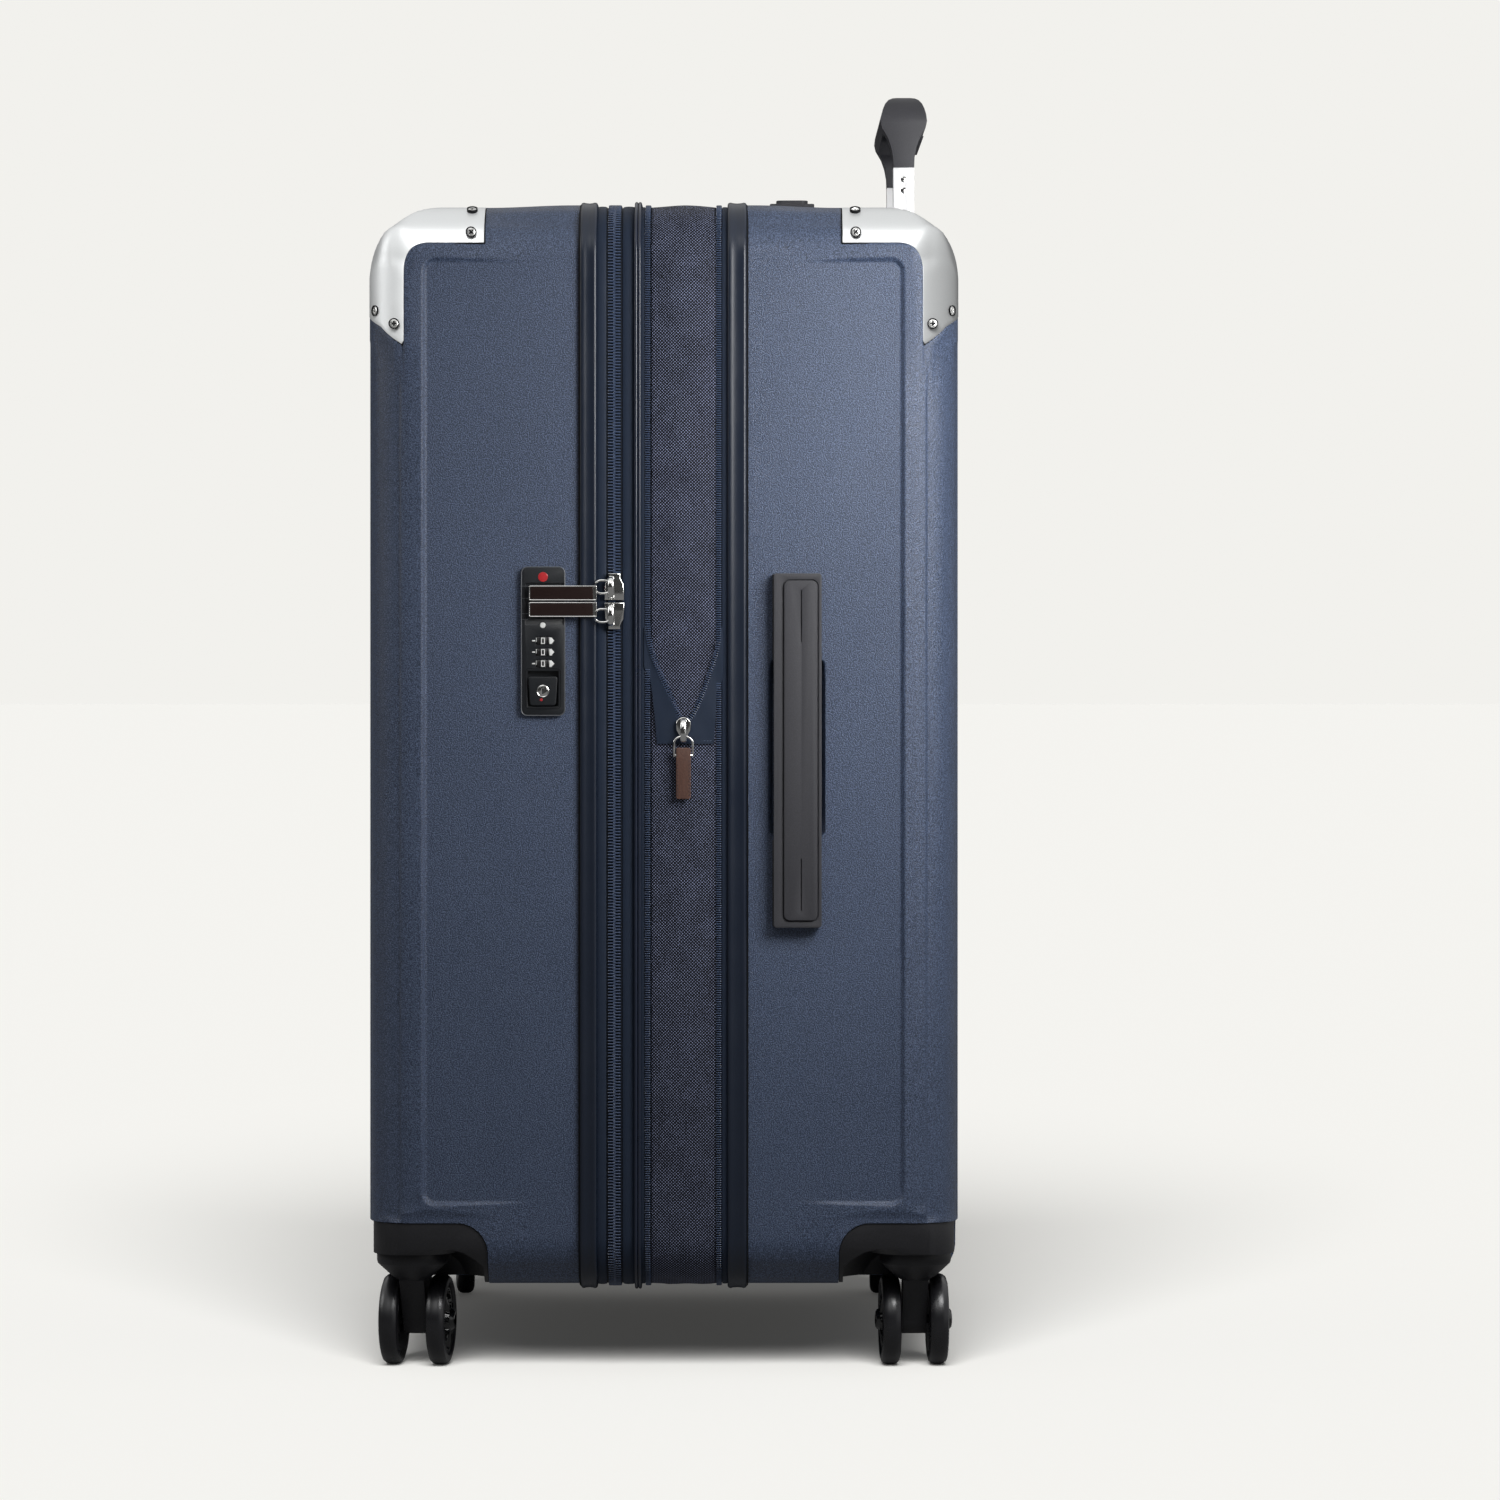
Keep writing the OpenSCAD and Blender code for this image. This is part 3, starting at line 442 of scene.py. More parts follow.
class Maker:
    """Turns points and faces, in millimetres, into pieces that ride on the case's bodies."""

    @staticmethod
    def piece(name: str, points: np.ndarray, faces: Iterable[Sequence[int]], finish: Finish, body: Optional[str],
              replaces: Sequence[str] = (), uv: Optional[np.ndarray] = None, sharp: float = 40.0,
              bevel: float = 0.0, thick: float = 0.0, offset: float = -1.0) -> bpy.types.Object:
        """Makes a piece.

        Args:
            name: The piece's name.
            points: Its points, in millimetres.
            faces: Its faces, as indices.
            finish: Its finish.
            body: The body that it rides on, or None where it bends between two.
            replaces: The solids that it stands for.
            uv: For each point, its place along and across, in metres.
            sharp: Angle in degrees over which an edge shades as sharp.
            bevel: Width of a small bevel on its edges, in millimetres.
            thick: Thickness to give a sheet, in millimetres.
            offset: Side that the thickness goes to.

        Returns:
            The piece.
        """
        mesh = bpy.data.meshes.new(name)
        rows = faces.tolist() if isinstance(faces, np.ndarray) else [list(f) for f in faces]
        mesh.from_pydata((np.asarray(points, float) * MM).tolist(), [], rows)
        if uv is not None:
            layer = mesh.uv_layers.new(name="lengths")
            loops = np.zeros(len(mesh.loops), np.int32)
            mesh.loops.foreach_get("vertex_index", loops)
            layer.data.foreach_set("uv", uv[loops].astype(np.float32).ravel())
        made = bpy.data.objects.new(name, mesh)
        bpy.context.scene.collection.objects.link(made)
        Maker.close(made, sharp, bevel, thick, offset)
        made.data.materials.append(finish.build())
        if body:
            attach(made, body)
        if replaces:
            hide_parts(*replaces)
        LOG.info("%s: %d faces", name, len(made.data.polygons))
        return made

    @staticmethod
    def bevelled(made: bpy.types.Object, width: float, segments: int, angle: float) -> None:
        """Adds rounding to a piece's edges.

        Args:
            made: The piece.
            width: Width of the rounding, in millimetres.
            segments: Steps in it.
            angle: Angle in degrees over which an edge is rounded.
        """
        edge = made.modifiers.new("edges", "BEVEL")
        edge.width, edge.segments, edge.limit_method = width * MM, segments, "ANGLE"
        edge.angle_limit, edge.use_clamp_overlap = math.radians(angle), True

    @staticmethod
    def settled(made: bpy.types.Object, sharp: float) -> None:
        """Turns a piece's modifiers into its mesh, and shades it.

        Args:
            made: The piece.
            sharp: Angle in degrees over which an edge shades as sharp.
        """
        if made.modifiers:
            shaped = bpy.data.meshes.new_from_object(made.evaluated_get(bpy.context.evaluated_depsgraph_get()))
            made.modifiers.clear()
            shaped.name = made.name
            made.data = shaped
        made.data.polygons.foreach_set("use_smooth", np.ones(len(made.data.polygons), bool))
        made.data.set_sharp_from_angle(angle=math.radians(sharp))

    @staticmethod
    def close(made: bpy.types.Object, sharp: float, bevel: float, thick: float, offset: float = -1.0) -> None:
        """Tidies a mesh: no loose or doubled points, outward faces, thickness, bevels and shading.

        Args:
            made: The object.
            sharp: Angle in degrees over which an edge shades as sharp.
            bevel: Width of the bevel, in millimetres.
            thick: Thickness for a sheet, in millimetres.
            offset: Side that the thickness goes to.
        """
        work = bmesh.new()
        work.from_mesh(made.data)
        bmesh.ops.remove_doubles(work, verts=work.verts, dist=2e-6)
        bmesh.ops.dissolve_degenerate(work, edges=work.edges, dist=1e-6)
        loose = [v for v in work.verts if not v.link_faces]
        bmesh.ops.delete(work, geom=loose, context="VERTS")
        if not thick:
            bmesh.ops.recalc_face_normals(work, faces=work.faces)
        work.to_mesh(made.data)
        work.free()
        if thick:
            solid = made.modifiers.new("thickness", "SOLIDIFY")
            solid.thickness, solid.offset = thick * MM, offset
        if bevel:
            Maker.bevelled(made, bevel, 2, 35)
        Maker.settled(made, sharp)

    @staticmethod
    def refined(node: str, finish: Finish, bevel: float = 0.5, name: str = "", sharp: float = 40.0,
                segments: int = 2) -> bpy.types.Object:
        """Makes a finely edged copy of a solid, which stands for it.

        Args:
            node: The solid.
            finish: Its finish.
            bevel: Width of its edges' rounding, in millimetres.
            name: The piece's name, if it isn't made from the solid's.
            sharp: Angle in degrees over which an edge shades as sharp.
            segments: Steps in the rounding.

        Returns:
            The piece.
        """
        source = frame["nodes"][node]
        made = bpy.data.objects.new(name or node + "_finished", source.data.copy())
        bpy.context.scene.collection.objects.link(made)
        made.data.materials.clear()
        work = bmesh.new()
        work.from_mesh(made.data)
        bmesh.ops.remove_doubles(work, verts=work.verts, dist=2e-5)
        bmesh.ops.dissolve_limit(work, angle_limit=math.radians(1.0), verts=work.verts, edges=work.edges)
        for layer in list(work.loops.layers.uv):
            work.loops.layers.uv.remove(layer)
        work.to_mesh(made.data)
        work.free()
        if made.data.has_custom_normals:
            for name_ in [a.name for a in made.data.attributes if a.name == "custom_normal"]:
                made.data.attributes.remove(made.data.attributes[name_])
        if bevel:
            Maker.bevelled(made, bevel, segments, 32)
        Maker.settled(made, sharp)
        made.data.materials.clear()
        made.data.materials.append(finish.build())
        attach(made, source["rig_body"])
        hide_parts(node)
        LOG.info("%s: %d faces", made.name, len(made.data.polygons))
        return made


def box_distance(u: np.ndarray, v: np.ndarray, half_u: float, half_v: float, r: object) -> np.ndarray:
    """Distance outside a rectangle with round corners that is centred on zero.

    Args:
        u: First coordinates.
        v: Second coordinates.
        half_u: Half its first side.
        half_v: Half its second side.
        r: Corner radius, one or for each point.

    Returns:
        The distances, below zero inside.
    """
    a, b = np.abs(u) - half_u + r, np.abs(v) - half_v + r
    return np.hypot(np.maximum(a, 0), np.maximum(b, 0)) + np.minimum(np.maximum(a, b), 0) - r


@dataclass(frozen=True)
class CaseForm:
    """The case's outer form, in millimetres, and the relief that is moulded into it."""

    half_w: float = 254.0
    half_d: float = 194.0
    low: float = 54.0
    high: float = 768.0
    round_side_top: float = 35.0
    round_front_top: float = 49.0
    round_front_low: float = 24.0
    round_front_side: float = 30.0
    core: float = 55.0
    panel_edge: float = 157.0
    panel_low: float = 111.0
    panel_high: float = 730.0
    panel_deep: float = 2.8
    column: float = 172.6
    zone_x: float = 169.1
    zone_y: float = 115.1
    zone_z: float = 98.4
    zone_round: float = 20.4

    @property
    def mid(self) -> float:
        """Height of the middle."""
        return (self.low + self.high) / 2

    @property
    def half_h(self) -> float:
        """Half the height."""
        return (self.high - self.low) / 2

    def outside(self, p: np.ndarray) -> np.ndarray:
        """How far points are outside the rounded block.

        Args:
            p: Points.

        Returns:
            A value for each, below zero inside.
        """
        x, y, z = p[:, 0], p[:, 1], p[:, 2] - self.mid
        low_or_high = np.where(z > 0, self.round_front_top, self.round_front_low)
        a = box_distance(x, z, self.half_w, self.half_h, self.round_side_top)
        b = box_distance(y, z, self.half_d, self.half_h, low_or_high)
        c = box_distance(x, y, self.half_w, self.half_d, self.round_front_side)
        inward = [np.clip((np.abs(x) - self.half_w + 35) / 12, 0, 1),
                  np.clip((np.abs(y) - self.half_d + 30) / 12, 0, 1),
                  np.clip((np.abs(z) - self.half_h + low_or_high) / 12, 0, 1)]
        soft = 9 * inward[0] * inward[1] * inward[2] + 1e-6
        most = a
        for other in (b, c):
            near = np.maximum(soft - np.abs(most - other), 0) / soft
            most = np.maximum(most, other) + near * near * soft / 4
        return most

    def project(self, p: np.ndarray) -> Tuple[np.ndarray, np.ndarray]:
        """Takes points on the sharp box to the rounded block.

        Args:
            p: Points on the box.

        Returns:
            The points on the block and their outward directions.
        """
        lows = np.array([-self.half_w + self.core, -self.half_d + self.core, self.low + self.core])
        highs = np.array([self.half_w - self.core, self.half_d - self.core, self.high - self.core])
        start = np.clip(p, lows, highs)
        near, far = np.zeros(len(p)), np.ones(len(p)) * 1.0001
        for _ in range(26):
            t = (near + far) / 2
            out = self.outside(start + (p - start) * t[:, None]) > 0
            far, near = np.where(out, t, far), np.where(out, near, t)
        q = start + (p - start) * near[:, None]
        grad = np.stack([self.outside(q + d) - self.outside(q - d) for d in np.eye(3) * 0.4], -1)
        return q, grad / np.maximum(np.linalg.norm(grad, axis=1, keepdims=True), 1e-9)

    def crown(self, p: np.ndarray, n: np.ndarray) -> np.ndarray:
        """How far the top and the underside lie under the block.

        Args:
            p: Points on the block.
            n: Their outward directions.

        Returns:
            The depths.
        """
        y = np.abs(p[:, 1])
        return ease(0.45, 0.85, n[:, 2]) * (0.4 + 1.7 * ease(60, 116, y)) + ease(0.45, 0.85, -n[:, 2]) * 1.9

    def under_guard(self, p: np.ndarray) -> np.ndarray:
        """How far points are outside the corner guards' outline, seen from the side.

        Args:
            p: Points.

        Returns:
            The distances, below zero inside.
        """
        y, z = np.abs(p[:, 1]), p[:, 2]
        top = np.maximum(741.5 - z, 117.5 - y)
        front = np.maximum(170.5 - y, 674 + (y - 172) * 0.91 - z)
        near = np.maximum(14 - np.abs(top - front), 0) / 14
        return np.maximum(np.minimum(top, front) - near * near * 3.5, 222 - np.abs(p[:, 0]))

    def relief(self, p: np.ndarray, n: np.ndarray, back: bool) -> np.ndarray:
        """How far the moulded surface lies under the block.

        Args:
            p: Points on the block.
            n: Their outward directions.
            back: Whether they are on the back half.

        Returns:
            The depths.
        """
        x, y, z = p[:, 0], np.abs(p[:, 1]), p[:, 2]
        on_side, on_face = ease(0.45, 0.8, np.abs(n[:, 0])), ease(0.45, 0.8, np.abs(n[:, 1]))
        mid, half = (self.panel_low + self.panel_high) / 2, (self.panel_high - self.panel_low) / 2
        panel = ease(1.5, -1.5, box_distance(y, z - mid, self.panel_edge, half, 8.0))
        side = self.panel_deep * np.maximum(panel, ease(150, 82, y))
        below_guard = ease(672, 655, z - np.maximum(y - 172, 0))
        side = side + 1.9 * np.clip((y - 158.5) / 14.1, 0, 1) * below_guard * ease(96, 112, z)
        side = np.maximum(side, 1.5 * ease(108, 101, z))
        if back:
            scoop = ease(1.2, -1.2, box_distance(y - 87.7, z - 410, 17.3, 59.5, 8.0)) * (x > 0)
            side = side + 9.0 * scoop
        face = 2.5 * ease(1.9, -1.9, box_distance(x, z - 415, 212, 297, 22.0))
        for i in range(-2, 3):
            face = face + 2.5 * ease(1.8, -1.8, box_distance(x - 74 * i, z - 415, 11, 273, 10.5))
        past, over = self.column - y, z - (655 + (y - 172) * 0.95)
        near = np.maximum(10 - np.abs(past - over), 0) / 10
        edge = np.maximum(past, over) + near * near * 2.5
        column = (1.3 + 1.6 * ease(190, 173, y)) * ease(1.5, -1.5, edge)
        column = column * ease(220.5, 224, np.abs(x)) * ease(92, 104, z)
        depth = np.maximum(on_side * side + on_face * face, column)
        seat = ease(0.5, -0.4, self.under_guard(p))
        return depth * (1 - seat) + seat * 1.1 + self.crown(p, n)

    def surface(self, p: np.ndarray, under: float = 0.0, back: bool = False,
                relief: bool = True) -> np.ndarray:
        """The moulded surface over points of the sharp box.

        Args:
            p: Points on the sharp box.
            under: Extra depth.
            back: Whether they are on the back half.
            relief: Whether the panels count, or only the crown.

        Returns:
            Points on the surface.
        """
        q, n = self.project(p)
        depth = self.relief(q, n, back) if relief else self.crown(q, n)
        return q - n * (depth + under)[:, None]


FORM = CaseForm()


@dataclass(frozen=True)
class BoxGrid:
    """Grid lines that the five faces of half the sharp box share, with the mouth towards the middle of the case."""

    x: np.ndarray
    y: np.ndarray
    z: np.ndarray

    def mesh(self) -> Tuple[np.ndarray, np.ndarray]:
        """Points and faces of the five faces, with the half on the negative side.

        Returns:
            The points on the sharp box, and the faces.
        """
        points: List[np.ndarray] = []
        faces: List[np.ndarray] = []
        total = 0

        def add(u: np.ndarray, v: np.ndarray,
                place: Callable[[np.ndarray, np.ndarray], Sequence[np.ndarray]]) -> None:
            """Adds one face of the box.

            Args:
                u: Its first lines.
                v: Its second lines.
                place: Gives the three coordinates.
            """
            nonlocal total
            a, b = np.meshgrid(u, v, indexing="ij")
            points.append(np.stack([np.broadcast_to(c, a.shape) for c in place(a, b)], -1).reshape(-1, 3))
            faces.append(quads(len(u), len(v)) + total)
            total += a.size

        for s in (-1, 1):
            add(self.y, self.z, lambda a, b, s=s: (s * FORM.half_w, a, b))
        for height in (FORM.low, FORM.high):
            add(self.x, self.y, lambda a, b, h=height: (a, b, h))
        add(self.x, self.z, lambda a, b: (a, -FORM.half_d, b))
        p, f = np.concatenate(points), np.concatenate(faces)
        _, first, back = np.unique(np.round(p * 100).astype(np.int64), axis=0, return_index=True, return_inverse=True)
        return p[first], back.reshape(-1)[f]


@dataclass
class ShellHalf:
    """One moulded half of the case, open towards the middle."""

    back: bool
    wall: float = 2.0
    mouth: float = 51.5

    def grid(self) -> BoxGrid:
        """Chooses grid lines that are close together where the form turns.

        Returns:
            The grid.
        """
        ribs = [(74 * i + s * 11 - 2.6, 74 * i + s * 11 + 2.6, 0.9) for i in range(-2, 3) for s in (-1, 1)]
        x = stops((-254, -206, 1.5), *ribs, (-206, 206, 16), (206, 254, 1.5))
        detail = [(346, 354, 0.9), (465, 474, 0.9)] if self.back else [(432.2, 433.2, 1), (526.4, 527.4, 1)]
        z = stops((54, 96, 2), (96, 144, 1.1), (144, 156, 2), (156, 674, 15), (674, 684, 2), (684, 734, 1.1),
                  (734, 768, 1.7), *detail)
        fine = [(66, 76, 0.9), (100, 109, 0.9)] if self.back else [(91, 92, 1), (65.6, 66.6, 1)]
        y = stops((self.mouth, 150, 6), *fine, (150, 178, 0.9), (178, 194, 1.3))
        return BoxGrid(x, -y[::-1], z)

    def _cut(self, made: bpy.types.Object) -> None:
        """Cuts the corners for the casters out of the shell, and folds its edges in by the wall.

        Args:
            made: The shell, on the negative side.
        """
        work = bmesh.new()
        work.from_mesh(made.data)
        r = FORM.zone_round
        for side in (-1, 1):
            planes = []
            for k in range(0, 10):
                a = math.radians(90 * k / 9)
                c, s = math.cos(a), math.sin(a)
                yz = ((0, -FORM.zone_y - r + r * c, FORM.zone_z - r + r * s), (0, c, s))
                xz = ((side * (FORM.zone_x + r - r * c), 0, FORM.zone_z - r + r * s), (-side * c, 0, s))
                planes += [yz, xz]
            for place, normal in planes:
                near = [f for f in work.faces if f.calc_center_median()[0] * side > 0.14
                        and f.calc_center_median()[1] < -0.09 and f.calc_center_median()[2] < 0.125]
                geom = near + list({e for f in near for e in f.edges}) + list({v for f in near for v in f.verts})
                bmesh.ops.bisect_plane(work, geom=geom, dist=1e-7, plane_co=[c * MM for c in place], plane_no=normal)
            inside = []
            for f in work.faces:
                c = f.calc_center_median()
                if c[0] * side > 0.14 and c[1] < -0.09 and c[2] < 0.125 and all(
                        sum((c[i] - q[i] * MM) * m[i] for i in range(3)) < 0 for q, m in planes):
                    inside.append(f)
            bmesh.ops.delete(work, geom=inside, context="FACES")
        if self.back:
            gone = [f for f in work.faces if f.calc_center_median()[2] > 0.74
                    and abs(f.calc_center_median()[0]) < 0.1264 and -0.1854 < f.calc_center_median()[1] < -0.1396]
        else:
            gone = [f for f in work.faces if f.calc_center_median()[0] > 0.24
                    and -0.0919 < f.calc_center_median()[1] < -0.0657 and 0.4323 < f.calc_center_median()[2] < 0.5273]
        bmesh.ops.delete(work, geom=gone, context="FACES")
        work.normal_update()
        rim = [e for e in work.edges if e.is_boundary]
        normals = {v: v.normal.copy() for e in rim for v in e.verts}
        fold = bmesh.ops.extrude_edge_only(work, edges=rim)["geom"]
        new = [g for g in fold if isinstance(g, bmesh.types.BMVert)]
        for v in new:
            old = next((e.other_vert(v) for e in v.link_edges if e.other_vert(v) in normals), None)
            if old is not None:
                v.co -= normals[old] * self.wall * MM
        work.to_mesh(made.data)
        work.free()

    def build(self) -> bpy.types.Object:
        """Builds the shell.

        Returns:
            The piece.
        """
        grid = self.grid()
        if self.back:
            grid = BoxGrid(np.unique(np.concatenate([grid.x, [-126.4, 126.4]])),
                           np.unique(np.concatenate([grid.y, [-185.4, -139.6]])), grid.z)
        box, faces = grid.mesh()
        points = FORM.surface(box, back=self.back)
        name = "back_shell_moulding" if self.back else "front_shell_moulding"
        mesh = bpy.data.meshes.new(name)
        mesh.from_pydata((points * MM).tolist(), [], faces.tolist())
        made = bpy.data.objects.new(name, mesh)
        bpy.context.scene.collection.objects.link(made)
        work = bmesh.new()
        work.from_mesh(mesh)
        bmesh.ops.recalc_face_normals(work, faces=work.faces)
        work.faces.ensure_lookup_table()
        probe = max(work.faces, key=lambda f: -f.calc_center_median()[1])
        if probe.normal[1] > 0:
            bmesh.ops.reverse_faces(work, faces=work.faces)
        work.to_mesh(mesh)
        work.free()
        self._cut(made)
        if self.back:
            work = bmesh.new()
            work.from_mesh(mesh)
            for v in work.verts:
                v.co[1] = -v.co[1]
            bmesh.ops.reverse_faces(work, faces=work.faces)
            work.to_mesh(mesh)
            work.free()
        mesh.polygons.foreach_set("use_smooth", np.ones(len(mesh.polygons), bool))
        mesh.set_sharp_from_angle(angle=math.radians(52))
        mesh.materials.append(SHELL.build())
        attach(made, "back_case" if self.back else "front_case")
        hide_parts("back_shell" if self.back else "front_shell")
        LOG.info("%s: %d faces", name, len(mesh.polygons))
        return made


def outline(straight: float = 30.0, turns: int = 14,
            offset: float = 0.0) -> Tuple[np.ndarray, np.ndarray, np.ndarray]:
    """The case's outline seen from the front, going round from the middle of the underside towards +X.

    Args:
        straight: Spacing of points on its straights.
        turns: Steps in each corner.
        offset: How far outside the outline the points are.

    Returns:
        Its points as X and Z, their outward directions, and their distances along it.
    """
    r, w, mid, h = FORM.round_side_top, FORM.half_w, FORM.mid, FORM.half_h
    points, normals = [], []
    corners = [(1, -1, -90), (1, 1, 0), (-1, 1, 90), (-1, -1, 180)]
    previous = None
    for sx, sz, start in corners + corners[:1]:
        cx, cz = sx * (w - r), mid + sz * (h - r)
        angles = np.radians(start + np.linspace(0, 90, turns + 1))
        arc_n = np.stack([np.cos(angles), np.sin(angles)], -1)
        arc_p = np.array([cx, cz]) + arc_n * r
        if previous is not None:
            a, b = previous[0], arc_p[0]
            count = max(2, int(np.linalg.norm(b - a) / straight))
            t = np.linspace(0, 1, count + 1)[1:-1, None]
            points.append(a + (b - a) * t)
            normals.append(np.repeat(arc_n[:1], len(t), 0))
        if previous is not None and (sx, sz) == corners[0][:2]:
            break
        points.append(arc_p)
        normals.append(arc_n)
        previous = (arc_p[-1],)
    p, n = np.concatenate(points), np.concatenate(normals)
    shift = int(np.argmin(np.abs(p[:, 0]) + np.abs(p[:, 1] - FORM.low) * 10))
    p, n = np.roll(p, -shift, 0), np.roll(n, -shift, 0)
    p = p + n * offset
    steps = np.linalg.norm(np.roll(p, -1, 0) - p, axis=1)
    return p, n, np.concatenate([[0], np.cumsum(steps)])


def hinge_gap(p: np.ndarray) -> np.ndarray:
    """Says which points of the outline are where the hinge takes the zip's place.

    Args:
        p: Points as X and Z.

    Returns:
        True for each that is.
    """
    return (p[:, 0] < -FORM.half_w + 20) & (p[:, 1] > 112) & (p[:, 1] < 710)


def band(name: str, profile: Sequence[Tuple[float, float]], finish: Finish, body: Optional[str],
         replaces: Sequence[str] = (), gap: bool = False, straight: float = 40.0, sharp: float = 50.0,
         ripple: Optional[Callable[[np.ndarray, np.ndarray, np.ndarray], np.ndarray]] = None,
         closed: bool = True) -> bpy.types.Object:
    """Makes a band that runs round the whole case.

    Args:
        name: The piece's name.
        profile: Its section, as depths along Y and offsets from the outline.
        finish: Its finish.
        body: The body that it rides on.
        replaces: The solids that it stands for.
        gap: Whether it leaves out the hinge.
        straight: Spacing of its points on the straights.
        sharp: Angle over which its edges shade as sharp.
        ripple: Gives a change of offset from the points as X, Y and Z.
        closed: Whether the section is a closed loop.

    Returns:
        The piece.
    """
    p, n, along = outline(straight)
    if gap:
        keep = ~hinge_gap(p)
        shift = int(np.argmax(keep & ~np.roll(keep, 1)))
        p, n, keep = np.roll(p, -shift, 0), np.roll(n, -shift, 0), np.roll(keep, -shift)
        p, n = p[keep], n[keep]
        ends = (np.array([[-FORM.half_w, 710.5]]), np.array([[-FORM.half_w, 111.5]]))
        order = ends if p[0][1] > 400 else ends[::-1]
        p, n = np.concatenate([order[0], p, order[1]]), np.concatenate([n[:1], n, n[-1:]])
        along = np.concatenate([[0], np.cumsum(np.linalg.norm(np.diff(p, axis=0), axis=1))])
    section = np.array(profile, float)
    m = len(section)
    x = p[:, None, 0] + n[:, None, 0] * section[None, :, 1]
    z = p[:, None, 1] + n[:, None, 1] * section[None, :, 1]
    y = np.broadcast_to(section[None, :, 0], x.shape)
    points = np.stack([x, y, z], -1).reshape(-1, 3)
    if ripple is not None:
        directions = np.repeat(np.stack([n[:, 0], np.zeros(len(n)), n[:, 1]], -1), m, 0)
        points = points + directions * ripple(points[:, 0], points[:, 1], points[:, 2])[:, None]
    across = np.concatenate([[0], np.cumsum(np.linalg.norm(np.diff(section, axis=0), axis=1))])
    uv = np.stack([np.repeat(along[:len(p)], m), np.tile(across, len(p))], -1) * MM
    faces = quads(len(p), m, wrap=closed)
    if not gap:
        columns = np.arange(m if closed else m - 1)
        k = (columns + 1) % m
        last = (len(p) - 1) * m
        faces = np.concatenate([faces, np.stack([last + columns, last + k, k, columns], -1)])
    rows = faces.tolist()
    if gap and closed:
        rows += [list(range(m)), list(range(len(p) * m - 1, len(p) * m - m - 1, -1))]
    return Maker.piece(name, points, rows, finish, body, replaces, uv, sharp)


